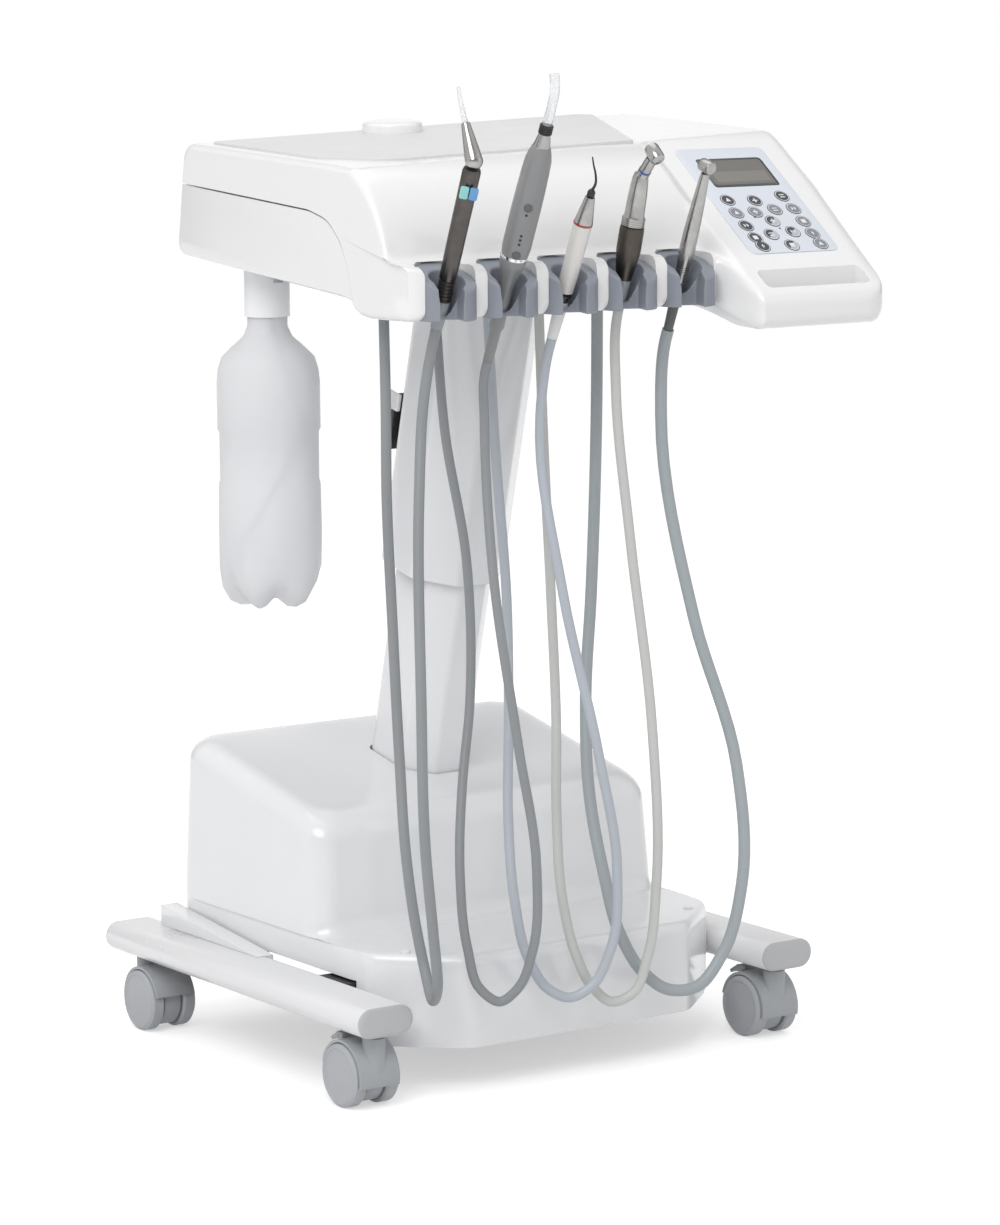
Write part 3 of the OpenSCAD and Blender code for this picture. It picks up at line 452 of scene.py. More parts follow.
def finish(name, colour, rough, metallic=0.0, coat=0.0, grain=900.0, bump=0.05, spread=0.06, shade=0.94,
           turned=None, **sockets):
    """A finish with a drifting colour and roughness and a fine relief."""
    material = bpy.data.materials.new(name)
    material.use_nodes = True
    tree = material.node_tree
    shader = tree.nodes["Principled BSDF"]
    where = node(tree, "ShaderNodeTexCoord").outputs["Object"]
    if turned is not None:
        place = DRAWING @ turned
        centred = node(tree, "ShaderNodeMapping", [("Vector", where)], vector_type="TEXTURE")
        centred.inputs["Location"].default_value = place.translation
        centred.inputs["Rotation"].default_value = place.to_euler()
        where = centred.outputs["Vector"]
    skin = node(tree, "ShaderNodeGroup", node_tree=rings_group() if turned is not None else grain_group())
    tree.links.new(where, skin.inputs["Vector"])
    if turned is None:
        skin.inputs["Grain"].default_value = grain
    drift = node(tree, "ShaderNodeGroup", node_tree=shade_group())
    tree.links.new(skin.outputs["Mask"], drift.inputs["Mask"])
    drift.inputs["Light"].default_value = (*colour, 1)
    drift.inputs["Dark"].default_value = (*[c * shade for c in colour], 1)
    tree.links.new(drift.outputs["Color"], shader.inputs["Base Color"])
    gloss = node(tree, "ShaderNodeMapRange", [("Value", skin.outputs["Mask"])], From_Min=0.3, From_Max=0.7,
                 To_Min=max(rough - spread, 0.02), To_Max=rough + spread)
    tree.links.new(gloss.outputs["Result"], shader.inputs["Roughness"])
    relief = node(tree, "ShaderNodeBump", [("Height", skin.outputs["Height"])], Strength=bump,
                  Distance=RELIEF_DEPTH)
    tree.links.new(relief.outputs["Normal"], shader.inputs["Normal"])
    shader.inputs["Metallic"].default_value = metallic
    shader.inputs["Coat Weight"].default_value = coat
    for key, value in sockets.items():
        shader.inputs[key.replace("_", " ")].default_value = value
    return material


def make_finishes():
    """Every finish of the unit, by a plain name."""
    c = colours()
    plain = {
        "cover": (c.cover, 0.20, dict(coat=0.35, bump=0.015, shade=0.985)),
        "shell": (c.shell, 0.20, dict(coat=0.35, bump=0.015, shade=0.985)),
        "rail": (c.rail, 0.32, dict(coat=0.2, grain=1500.0, bump=0.06, shade=0.97)),
        "tray": (c.tray, 0.38, dict(grain=2600.0, bump=0.10, shade=0.97)),
        "trim": (c.trim, 0.45, dict(grain=1800.0, bump=0.12)),
        "caster": (c.caster, 0.40, dict(grain=1600.0, bump=0.10)),
        "tread": (c.tread, 0.42, dict(grain=1300.0, bump=0.10, shade=0.9)),
        "tread_side": ([v * 0.8 for v in c.tread], 0.5, dict(grain=1300.0, bump=0.15, shade=0.85)),
        "holder": (c.holder, 0.42, dict(grain=1800.0, bump=0.12, shade=0.9)),
        "film": (c.film, 0.36, dict(grain=2500.0, bump=0.04, shade=0.98)),
        "bezel": (c.bezel, 0.16, dict(bump=0.01, coat=0.3)),
        "key_dark": (c.key_dark, 0.34, dict(bump=0.05)),
        "key_grey": (c.key_grey, 0.34, dict(bump=0.05)),
        "key_light": ((0.50, 0.51, 0.56), 0.34, dict(bump=0.05)),
        "print_white": ((0.80, 0.81, 0.84), 0.36, dict(bump=0.02)),
        "black": ((0.018, 0.018, 0.02), 0.38, dict(grain=1500.0, bump=0.1)),
        "cap_white": ((0.93, 0.935, 0.95), 0.34, dict(grain=1200.0, bump=0.06)),
        "dip": ((0.30, 0.36, 0.62), 0.35, dict(bump=0.02)),
        "light": (c.light, 0.34, dict(grain=1800.0, bump=0.05, coat=0.15)),
        "light_key": ([v * 0.45 for v in c.light], 0.45, dict(bump=0.1)),
        "scaler": ((0.78, 0.76, 0.73), 0.28, dict(coat=0.3, bump=0.02)),
        "knurl": ((0.05, 0.045, 0.042), 0.4, dict(bump=0.1, grain=2400.0, metallic=0.6)),
        "red": ((0.42, 0.03, 0.02), 0.3, dict(coat=0.4, bump=0.02)),
        "blue": ((0.03, 0.07, 0.33), 0.3, dict(coat=0.4, bump=0.02)),
        "turquoise": ((0.25, 0.62, 0.60), 0.22, dict(coat=0.5, bump=0.01)),
        "button_blue": ((0.10, 0.32, 0.62), 0.22, dict(coat=0.5, bump=0.01)),
        "hose_dark": (c.hose_dark, 0.42, dict(grain=700.0, bump=0.05, shade=0.92)),
        "hose_mid": (c.hose_mid, 0.42, dict(grain=700.0, bump=0.05, shade=0.94)),
        "hose_blue": (c.hose_blue, 0.42, dict(grain=700.0, bump=0.05, shade=0.94)),
        "hose_pale": (c.hose_pale, 0.42, dict(grain=700.0, bump=0.05, shade=0.95)),
        "relief": ((0.33, 0.35, 0.37), 0.45, dict(grain=900.0, bump=0.08)),
        "pale_tip": ((0.80, 0.80, 0.80), 0.3, dict(bump=0.02)),
        "frame": ((0.03, 0.03, 0.034), 0.5, dict(grain=800.0, bump=0.2)),
        "board": ((0.015, 0.09, 0.03), 0.4, dict(bump=0.1)),
        "alu": ((0.60, 0.61, 0.62), 0.35, dict(metallic=1.0, grain=1500.0, bump=0.08)),
        "chrome": ((0.72, 0.72, 0.74), 0.10, dict(metallic=1.0, bump=0.01)),
        "steel": (c.steel, 0.3, dict(metallic=1.0, grain=1500.0, bump=0.03)),
    }
    for name, (colour, rough, rest) in plain.items():
        FINISHES[name] = finish(name, list(colour), rough, **rest)
    for name, place, colour, rough in (
            ("syringe_metal", SYRINGE, c.gunmetal, 0.32), ("nozzle_metal", SYRINGE, c.steel, 0.22),
            ("turbine_metal", TURBINE, c.steel, 0.24),
            ("contra_metal", MOTOR, c.steel, 0.20), ("motor_metal", MOTOR, c.motor, 0.36),
            ("scaler_metal", SCALER, c.steel, 0.24), ("light_metal", LIGHT, c.steel, 0.16)):
        FINISHES[name] = finish(name, list(colour), rough, metallic=1.0, bump=0.12, turned=place, shade=0.86)
    FINISHES["bottle"] = finish(
        "bottle", list(c.bottle), 0.34, grain=500.0, bump=0.05, shade=0.98, Transmission_Weight=0.35,
        IOR=1.15, Alpha=0.88)
    FINISHES["clear"] = finish(
        "clear", [0.93, 0.94, 0.95], 0.12, bump=0.01, shade=0.98, Transmission_Weight=0.75, IOR=1.3)
    FINISHES["screen"] = finish("screen", list(c.screen), 0.22, coat=0.6, bump=0.01)
    FINISHES["screen_field"] = finish("screen_field", [v * 1.45 for v in c.screen], 0.22, coat=0.6, bump=0.01)


# ---- stage, lights and camera ----

CAMERA_AT = Vector((-1966.2, -3002.9, 867.6))
CAMERA_TURN = (math.pi / 2 - 0.14534, -0.00781, -0.59895)  # tilt, roll and heading
FOCAL_PIXELS = 4377.2
PHOTO_HEIGHT = 1225
SENSOR = 36.0
VIEW_LINE = (0.558, 0.817, -0.145)
# Brightness of the glossy surroundings, by how far a direction points along the view line
GLOSS_BANDS = [
    (-1, 0.5), (-0.75, 0.45), (-0.5, 0.95), (0.35, 1.0), (0.5, 0.35), (0.72, 0.2), (0.85, 0.95), (1, 1)]


class DENTAL_OT_stage(bpy.types.Operator):
    """Camera at the photograph's angle, a pale floor and soft lights"""
    bl_idname = "dental.stage"
    bl_label = "Stage"

    def execute(self, context):
        scene = context.scene
        scene.view_settings.view_transform = "Standard"
        data = bpy.data.cameras.new("camera")
        data.lens, data.sensor_width = FOCAL_PIXELS * SENSOR / PHOTO_HEIGHT, SENSOR
        data.clip_end = 100
        camera = bpy.data.objects.new("camera", data)
        scene.collection.objects.link(camera)
        tilt, roll, heading = CAMERA_TURN
        camera.matrix_world = (
            Matrix.Translation(DRAWING @ CAMERA_AT) @ Matrix.Rotation(heading, 4, "Z")
            @ Matrix.Rotation(tilt, 4, "X") @ Matrix.Rotation(roll, 4, "Z"))
        scene.camera = camera
        self.world(scene)
        self.floor()
        self.lamp("key", (-2.2, -1.6, 2.6), 2.2, 51)
        self.lamp("fill", (1.8, -2.4, 1.4), 2.0, 3)
        self.lamp("top", (0.2, 0.7, 3.2), 2.6, 15)
        return {"FINISHED"}

    def world(self, scene):
        world = bpy.data.worlds.new("studio")
        scene.world = world
        world.use_nodes = True
        tree = world.node_tree
        back = tree.nodes["Background"]
        back.inputs["Color"].default_value = (1, 1, 1, 1)
        # White for the camera, soft for diffuse light, and bright and dark bands for what metal reflects
        path = node(tree, "ShaderNodeLightPath")
        seen = node(tree, "ShaderNodeMath", [(0, path.outputs["Is Camera Ray"]),
                                             (1, path.outputs["Is Transmission Ray"])],
                    operation="ADD", use_clamp=True)
        level = node(tree, "ShaderNodeMapRange", [("Value", seen.outputs[0])], To_Min=0.66, To_Max=1.0)
        where = node(tree, "ShaderNodeTexCoord")
        facing = node(tree, "ShaderNodeVectorMath", [(0, where.outputs["Generated"])],
                      operation="DOT_PRODUCT")
        facing.inputs[1].default_value = VIEW_LINE
        share = node(tree, "ShaderNodeMapRange", [("Value", facing.outputs["Value"])], From_Min=-1.0)
        bands = node(tree, "ShaderNodeValToRGB", [("Fac", share.outputs["Result"])])
        stops = bands.color_ramp.elements
        while len(stops) < len(GLOSS_BANDS):
            stops.new(0.5)
        for stop, (at, value) in zip(stops, GLOSS_BANDS):
            stop.position = (at + 1) / 2
            stop.color = (value, value, value, 1)
        strength = node(tree, "ShaderNodeMix", [
            ("Factor", path.outputs["Is Glossy Ray"]), ("A", level.outputs["Result"]),
            ("B", bands.outputs["Color"])])
        tree.links.new(strength.outputs["Result"], back.inputs["Strength"])

    def floor(self):
        bm = bmesh.new()
        bmesh.ops.create_grid(bm, x_segments=1, y_segments=1, size=30)
        mesh = bpy.data.meshes.new("floor")
        bm.to_mesh(mesh)
        bm.free()
        floor = bpy.data.objects.new("floor", mesh)
        bpy.context.scene.collection.objects.link(floor)
        material = bpy.data.materials.new("floor")
        material.use_nodes = True
        tree = material.node_tree
        tree.nodes.remove(tree.nodes["Principled BSDF"])
        matt = node(tree, "ShaderNodeBsdfDiffuse", Color=(0.80, 0.80, 0.805, 1))
        glow = node(tree, "ShaderNodeEmission", Color=(1, 1, 1, 1))
        path = node(tree, "ShaderNodeLightPath")
        seen = node(tree, "ShaderNodeMath", [(0, path.outputs["Is Camera Ray"]),
                                             (1, path.outputs["Is Glossy Ray"])], operation="ADD")
        seen = node(tree, "ShaderNodeMath", [(0, seen.outputs[0]), (1, path.outputs["Is Transmission Ray"])],
                    operation="ADD", use_clamp=True)
        level = node(tree, "ShaderNodeMapRange", [("Value", seen.outputs[0])], To_Min=0.0, To_Max=0.48)
        tree.links.new(level.outputs["Result"], glow.inputs["Strength"])
        both = node(tree, "ShaderNodeAddShader", [(0, matt.outputs[0]), (1, glow.outputs[0])])
        tree.links.new(both.outputs[0], tree.nodes["Material Output"].inputs["Surface"])
        mesh.materials.append(material)

    def lamp(self, name, at, size, power):
        data = bpy.data.lights.new(name, "AREA")
        data.shape, data.size, data.energy = "DISK", size, power
        lamp = bpy.data.objects.new(name, data)
        bpy.context.scene.collection.objects.link(lamp)
        middle = Vector((0, 0, 0.4))
        lamp.matrix_world = Matrix.Translation(at) @ (
            middle - Vector(at)).to_track_quat("-Z", "Y").to_matrix().to_4x4()


# ---- hoses ----

# Hose: radius in millimetres, finish, slot, instrument body and length in metres
HOSES = {
    "hose_syringe": (4.2, "hose_dark", "hose_grey", "syringe", 1.085),
    "hose_curing_light": (3.8, "hose_dark", "hose_grey", "curing_light", 1.072),
    "hose_scaler": (4.0, "hose_mid", "hose_grey", "scaler", 1.11),
    "hose_air_motor": (4.0, "hose_pale", "hose_pale", "motor", 1.135),
    "hose_turbine": (4.8, "hose_blue", "hose_grey", "turbine", 1.144),
}


class DENTAL_OT_hoses(bpy.types.Operator):
    """The five hoses, from the head's underside down in a loop and up to the instruments"""
    bl_idname = "dental.hoses"
    bl_label = "Hoses"

    def execute(self, context):
        for name, (radius, look, slot, body, length) in HOSES.items():
            line = smooth_line([Vector(p) / MM for p in ROUTES[name]])
            part = solid(lambda bm: tube(bm, line, radius))
            piece = settle(part, name + "_tube", None, look, angle=60)
            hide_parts(name)
            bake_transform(piece)
        return {"FINISHED"}


# ---- base ----

COVER_HALF = 170
COVER_FRONT, COVER_REAR = -108, 112
PLINTH_FRONT = -233
COVER_TOP = 224
COVER_SLOPE = math.tan(math.radians(12))
PLINTH_TOP, APRON = 108, 35
PLINTH_ROUND, FOOT_FILLET, TOP_ROUND = 10, 14, 21
# Side view of the space under the cover, open to the sides over the rails
UNDER_COVER = [(-190, 20), (-190, APRON), (-163, 61), (-163, 84.3), (130, 84.3), (130, 20)]


def cover_outline(front, inset):
    """Plan of the base cover; front runs from 0 for the tall box to 1 for the plinth."""
    half, rear = COVER_HALF - inset, COVER_REAR - inset
    box = (arc(half - 24, rear - 24, 24, 0, 90) + arc(24 - half, rear - 24, 24, 90, 180)
           + [(-half, y) for y in (60, 30, 0, -30, -50, -70)]
           + arc(24 - half, COVER_FRONT + inset + 24, 24, 180, 270, 17)
           + [(x * half / 170, COVER_FRONT + inset) for x in (-110, -75, -38, 0, 38, 75, 110)]
           + arc(half - 24, COVER_FRONT + inset + 24, 24, 270, 360, 17)
           + [(half, y) for y in (-70, -50, -30, 0, 30, 60)])
    chamfer = (arc(-144 + inset, -170, 22, 180, 219, 8)
               + arc(-96 + inset / 2, -207 + inset, 26, 231, 270, 8))
    front_edge = [(x, PLINTH_FRONT + inset) for x in (-80, -55, -27, 0, 27, 55, 80)]
    plinth = (box[:18] + [(-half + 2, y) for y in (50, 0, -50, -90, -130, -155)]
              + chamfer + front_edge + [(-x, y) for x, y in reversed(chamfer)]
              + [(half - 2, y) for y in (-155, -130, -90, -50, 0, 50)])
    return [(a + (c - a) * front, b + (d - b) * front) for (a, b), (c, d) in zip(box, plinth)]


def cover_skin(bm, inset):
    """The base cover as one skin: plinth, hollow fillet, drafted walls and a sloping crowned top."""
    depth = COVER_FRONT - PLINTH_FRONT
    rings = []
    for height in (APRON - 2 * inset, 60, 84, PLINTH_TOP - PLINTH_ROUND - inset):
        rings.append([(x, y, height) for x, y in cover_outline(1, inset)])
    for angle in range(15, 91, 15):
        tight = PLINTH_ROUND * (1 - math.cos(math.radians(angle))) / depth
        height = PLINTH_TOP - inset - PLINTH_ROUND + PLINTH_ROUND * math.sin(math.radians(angle))
        rings.append([(x, y, height) for x, y in cover_outline(1 - tight, inset)])
    for front in (0.75, 0.45, 0.2):
        rings.append([(x, y, PLINTH_TOP - inset + 0.2) for x, y in cover_outline(front, inset)])
    for angle in range(0, 91, 15):
        tight = FOOT_FILLET * (1 - math.sin(math.radians(angle))) / depth
        height = PLINTH_TOP - inset + FOOT_FILLET * (1 - math.cos(math.radians(angle)))
        rings.append([(x, y, height) for x, y in cover_outline(tight, inset)])
    foot = PLINTH_TOP + FOOT_FILLET - inset
    box = cover_outline(0, inset)
    for i in range(1, 7):
        rings.append([(x * (1 - 0.0035 * i), y * (1 - 0.006 * i),
                       foot + (COVER_TOP + COVER_SLOPE * y - inset - TOP_ROUND * 1.02 - foot) * i / 6)
                      for x, y in box])
    for angle in range(10, 91, 10):
        tight = TOP_ROUND * (1 - math.cos(math.radians(angle)))
        drop = TOP_ROUND * 1.02 - TOP_ROUND * math.sin(math.radians(angle))
        ring = []
        for x, y in box:
            x, y = x * (1 - 0.021), y * (1 - 0.036)
            scale_x, scale_y = 1 - tight / 166, 1 - tight / 106
            ring.append((x * scale_x, y * scale_y, COVER_TOP + COVER_SLOPE * y * scale_y - inset - drop))
        rings.append(ring)
    for scale in (0.93, 0.6):
        rings.append([(x * scale, y * scale, COVER_TOP - inset + 0.4 * (1 - scale) + COVER_SLOPE * y * scale)
                      for x, y, _ in rings[-1 if scale > 0.9 else -2]])
    stack(bm, rings)


def stack(bm, rings):
    """Joins rings of points into a closed skin."""
    loops = []
    for ring in rings:
        verts = [bm.verts.new(p) for p in ring]
        loops.append([bm.edges.new(pair) for pair in zip(verts, verts[1:] + verts[:1])])
    for before, after in zip(loops, loops[1:]):
        bmesh.ops.bridge_loops(bm, edges=before + after)
    for loop in (loops[0], loops[-1]):
        bmesh.ops.contextual_create(bm, geom=loop)


def rounded(corners, radius=0.0, steps=5):
    """Rounds the corners of an outline; a corner may carry its own radius as a third value."""
    line = []
    for i, corner in enumerate(corners):
        here, before, after = [Vector(corners[j % len(corners)][:2]) for j in (i, i - 1, i + 1)]
        size = corner[2] if len(corner) > 2 else radius
        back, on = (before - here).normalized(), (after - here).normalized()
        half = back.angle(on) / 2
        if size == 0 or half > math.radians(89):
            line.append(tuple(here))
            continue
        reach = min(size / math.tan(half), (before - here).length * 0.49, (after - here).length * 0.49)
        size = reach * math.tan(half)
        centre = here + (back + on).normalized() * size / math.sin(half)
        start, end = here + back * reach - centre, here + on * reach - centre
        first = math.atan2(start.y, start.x)
        sweep = (math.atan2(end.y, end.x) - first + math.pi) % (2 * math.pi) - math.pi
        line += [(centre.x + size * math.cos(first + sweep * k / steps),
                  centre.y + size * math.sin(first + sweep * k / steps)) for k in range(steps + 1)]
    return line


def sleeve(width, depth, chamfer, corner):
    return rounded([
        (-width / 2, chamfer - depth / 2, 7), (chamfer - width / 2, -depth / 2, 7),
        (width / 2 - chamfer, -depth / 2, 7), (width / 2, chamfer - depth / 2, 7),
        (width / 2, depth / 2, corner), (-width / 2, depth / 2, corner)])


def fillet_prism(bm, outline, place, low, high, radius, both=True):
    """A prism whose end edges are rounded."""
    prism(bm, outline, place, low, high)
    up = place.to_3x3() @ Vector((0, 0, 1))
    bmesh.ops.recalc_face_normals(bm, faces=bm.faces)
    edges = set()
    for face in bm.faces:
        facing = face.normal.dot(up)
        if facing > 0.99 or (both and facing < -0.99):
            edges.update(face.edges)
    bmesh.ops.bevel(bm, geom=list(edges), offset=radius, offset_type="OFFSET", segments=4, profile=0.5,
                    affect="EDGES", clamp_overlap=True, material=-1)


def node_copy(name, width=0.6, segments=2, angle=28):
    """A loose copy of a construction node in drawing millimetres, with its sharp edges rounded."""
    bm = bmesh.new()
    bm.from_mesh(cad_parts[name].data)
    bmesh.ops.transform(bm, matrix=DRAWING.inverted(), verts=bm.verts)
    bmesh.ops.remove_doubles(bm, verts=bm.verts, dist=0.01)
    bmesh.ops.dissolve_limit(bm, angle_limit=math.radians(3), verts=bm.verts, edges=bm.edges)
    if width:
        soften(bm, width, segments, angle)
    mesh = bpy.data.meshes.new("part")
    bm.to_mesh(mesh)
    bm.free()
    part = bpy.data.objects.new("part", mesh)
    bpy.context.scene.collection.objects.link(part)
    return part


class DENTAL_OT_base(bpy.types.Operator):
    """Base cover, rails, end caps, saddles and the parts in the rear wall"""
    bl_idname = "dental.base"
    bl_label = "Base"

    def execute(self, context):
        cover = solid(cover_skin, 0)
        combine(cover, solid(cover_skin, 3))
        combine(cover, solid(prism, UNDER_COVER, ALONG_X, -200, 200))
        combine(cover, solid(prism, sleeve(67, 77, 20, 12), COLUMN, -60, 60))
        combine(cover, solid(prism, rounded([(-66, 112), (66, 112), (66, 174), (-66, 174)], 3),
                             ALONG_Y, 80, 140))
        settle(cover, "cover", "base", "cover", ["base_cover"])

        rails = solid(self.rails)
        settle(rails, "rails", "base", "rail", ["side_rails"])
        caps = solid(self.caps)
        settle(caps, "end_caps", "base", "trim", ["rail_end_caps"])
        settle(node_copy("rail_saddles", 1.5, 3), "saddles", "base", "cover",
               ["rail_saddles"])
        settle(solid(self.plugs), "plugs", "base", "cover", ["cover_screws"])
        settle(node_copy("rear_inlet_panel", 0.5), "inlet_panel", "base",
               "tread_side", ["rear_inlet_panel"])
        settle(node_copy("caster_stems", 0.6), "stems", "base", "chrome", ["caster_stems"])
        return {"FINISHED"}

    def rails(self, bm):
        for side in (-RAIL_X, RAIL_X):
            prism(bm, shifted(oval(*RAIL_SECTION), side, RAIL_HEIGHT), ALONG_Y,
                  RAIL_TUBE_FRONT + 0.4, RAIL_TUBE_REAR - 0.4)
        soften(bm, 0.8, 2, 60)

    def caps(self, bm):
        width, height = RAIL_SECTION
        for side in (-RAIL_X, RAIL_X):
            for at, out in ((RAIL_TUBE_FRONT, -1), (RAIL_TUBE_REAR, 1)):
                stack(bm, [[(x + side, at + out * depth, z + RAIL_HEIGHT)
                            for x, z in oval(width - 2 * tight, height - 2 * tight)]
                           for tight, depth in ((0.3, -3), (0.3, 0.6), (1.2, 1.5), (3.4, 2.0), (8, 2.0))])

    def plugs(self, bm):
        for x in (-138, 138):
            lathe(bm, [(0, 107.5), (4, 107.5), (4, 109.2), (3.4, 109.8), (1.6, 109.8), (1.2, 109.2),
                       (0, 109.2)], move(x, -190, 0), 24)
        for x in (-110, 110):
            lathe(bm, [(0, 0), (4, 0), (4, 1.4), (3.2, 2), (0, 2)], move(x, 111.4, 104) @ turn(-90, "X"), 24)


class DENTAL_OT_column(bpy.types.Operator):
    """The two sleeves of the leaning column and the release lever"""
    bl_idname = "dental.column"
    bl_label = "Column"

    def execute(self, context):
        lower = solid(fillet_prism, sleeve(64, 74, 20, 12), COLUMN, -155, 330, 1.2)
        combine(lower, solid(prism, sleeve(58, 68, 18, 9), COLUMN, -200, 340))
        combine(lower, solid(prism, [(-200, 0), (-200, 92.2), (200, 92.2), (200, 0)], ALONG_X, -90, 90))
        settle(lower, "lower_sleeve_skin", "base", "cover", ["lower_sleeve"])
        upper = solid(fillet_prism, sleeve(92, 82, 28, 14), COLUMN, 155, 460, 1.6)
        for side in (-43.5, 43.5):
            lug = rounded([(side - 2, 39), (side + 2, 39), (side + 2, 55), (side - 2, 55)], 1.2)
            join(upper, solid(fillet_prism, lug, COLUMN, 280, 294, 1.0))
        combine(upper, solid(prism, sleeve(86, 76, 26.5, 11), COLUMN, 140, 500))
        combine(upper, solid(prism, [(-300, 607.5), (200, 652.5), (200, 900), (-300, 900)], ALONG_X, -90, 90))
        settle(upper, "upper_sleeve_skin", "lift", "cover", ["upper_sleeve"])
        settle(node_copy("release_lever", 1.2, 3), "lever", "lever",
               "black", ["release_lever"])
        return {"FINISHED"}


# ---- head ----

HEAD_LEFT, HEAD_RIGHT = -170, 270
SEAT_TOP = HOLDER_HIGH - 0.4
# Middles of the handle's opening in plan, and of the keypad and display on the pad
HANDLE_AT, KEYPAD_AT, DISPLAY_AT = (194, -282.5), (44.5, 65.5), (47, 100)
OUTLET_X, OUTLET_Y = (-133, -85, -36, 13, 70), -161


def below_seam(gap):
    """Side view of the tub's region, under the seam and shrunk by a gap."""
    return rounded([
        (110, 560), (110, 702.5 - gap), (-112, 686.6 - gap, 60), (-140 + gap / 2, 680 - gap, 36),
        (-158 + gap, 664 - gap, 36), (-168 + gap, 645, 36), (-175 + gap, 619), (-175 + gap, 560)])


def roof(x, y):
    return 735 + 0.03496 * x + 0.04718 * y


def spaced(points, count):
    """Points at even distances along a line."""
    points = [Vector(p) for p in points]
    along = [0.0]
    for a, b in zip(points, points[1:]):
        along.append(along[-1] + (b - a).length)
    line, j = [], 0
    for i in range(count):
        want = along[-1] * i / count
        while along[j + 1] < want:
            j += 1
        part = (want - along[j]) / (along[j + 1] - along[j])
        line.append(points[j].lerp(points[j + 1], part))
    return line


def head_section(x):
    """Side view of the head, in four stretches of evenly spaced points."""
    rear = rounded([(60, 639.6), (93.2, 642.6, 10), (79.4, roof(x, 79.4), 12), (40, roof(x, 40))], steps=8)
    top_arc = [p for p in arc(-122, 632, 102, 97, 164, 48) if p[1] < roof(x, p[0]) - 0.6]
    front = ([(-128, roof(x, -128)), (-142, roof(x, -142) - 0.2)] + top_arc
             + [(-222.2, 655), (-225.4, 651.6), (-231, 649.2), (-238, 648.2)]
             + arc(-244, 638, 10, 90, 180, 8) + arc(-244, 617, 10, 180, 270, 8))
    under = [(-244, 607), (-196, 606.4), (-186, 607.6), (-178, 611.4), (-173, 618), (-160, 620.4),
             (60, 639.6)]
    return rear, front, under


def console_section(x):
    """Side view of the console, in the same stretches."""
    rear = rounded([(40, 640), (59, 642.6, 8), (64, roof(x, 64), 16), (30, roof(x, 30))], steps=8)
    top_arc = [p for p in arc(-105, 674, 70, 96, 127, 24) if p[1] < roof(x, p[0]) - 0.6]
    front = ([(-116, roof(x, -116)), (-128, roof(x, -128) - 0.3)] + top_arc
             + arc(-286, 607.2, 14, 127, 180, 6) + arc(-290, 599, 10, 185, 270, 6))
    under = [(-290, 589), (-268, 590), (-256, 594.6), (-243, 601.4), (-180, 616), (40, 640)]
    return rear, front, under


def section(x):
    """One outline of the head and console together, at a station from left to right."""
    share = min(max((x - 117) / 15, 0), 1)
    share = share * share * (3 - 2 * share)
    outline = []
    head, console = head_section(x), console_section(x)
    for k, count in ((0, 50), ("top", 60), (1, 130), (2, 90)):
        pair = []
        for parts in (head, console):
            line = [parts[0][-1], parts[1][0]] if k == "top" else parts[k]
            pair.append(spaced(line, count))
        outline += [a.lerp(b, share) for a, b in zip(*pair)]
    return outline


def plan_right(y):
    """Right side of the console in plan."""
    if y > 22:
        return 232 + math.sqrt(max(38 ** 2 - (y - 22) ** 2, 0))
    if y > -190:
        return HEAD_RIGHT
    if y > -288:
        return 258 + (y + 288) * 12 / 98
    return 246 + math.sqrt(max(12 ** 2 - (y + 288) ** 2, 0))


def plan_left(y):
    """Left side of the head in plan."""
    if y > -238:
        return HEAD_LEFT
    return HEAD_LEFT + 16 - math.sqrt(max(16 ** 2 - (y + 238) ** 2, 0))


def head_skin(bm):
    """Head and console as one skin, lofted from left to right."""
    rings = []
    left_round, right_round = 6, 14
    stations = [left_round * (1 - math.cos(math.radians(a))) for a in range(0, 91, 9)]
    left = [(HEAD_LEFT + d, left_round - math.sqrt(max(left_round ** 2 - (left_round - d) ** 2, 0)))
            for d in stations]
    right = [(HEAD_RIGHT - d, right_round - math.sqrt(max(right_round ** 2 - (right_round - d) ** 2, 0)))
             for d in [right_round * (1 - math.cos(math.radians(a))) for a in range(0, 91, 9)]]
    middle = [(x, 0) for x in list(range(-150, 112, 8)) + list(range(114, 140, 2)) + list(range(142, 256, 6))]
    for x, tight in left + middle + right[::-1]:
        outline = section(x)
        low_z, high_z = min(p.y for p in outline), max(p.y for p in outline)
        low_y, high_y = min(p.x for p in outline), max(p.x for p in outline)
        mid_y, mid_z = (low_y + high_y) / 2, (low_z + high_z) / 2
        shrink_y = 1 - tight / (high_y - mid_y)
        shrink_z = 1 - tight / (high_z - mid_z)
        ring = []
        for p in outline:
            y, z = mid_y + (p.x - mid_y) * shrink_y, mid_z + (p.y - mid_z) * shrink_z
            end = x
            if x < -140:
                end = -140 + (x + 140) * (plan_left(y) + 140) / (HEAD_LEFT + 140)
            if x > 140:
                end = 140 + (x - 140) * (plan_right(y) - 140) / (HEAD_RIGHT - 140)
            ring.append((end, y, z))
        rings.append(ring)
    first, last = rings[0], rings[-1]
    rings = [[(x, -80 + (y + 80) * 0.94, 680 + (z - 680) * 0.9) for x, y, z in first]] + rings
    rings.append([(x, -90 + (y + 90) * 0.94, 670 + (z - 670) * 0.9) for x, y, z in last])
    stack(bm, rings)


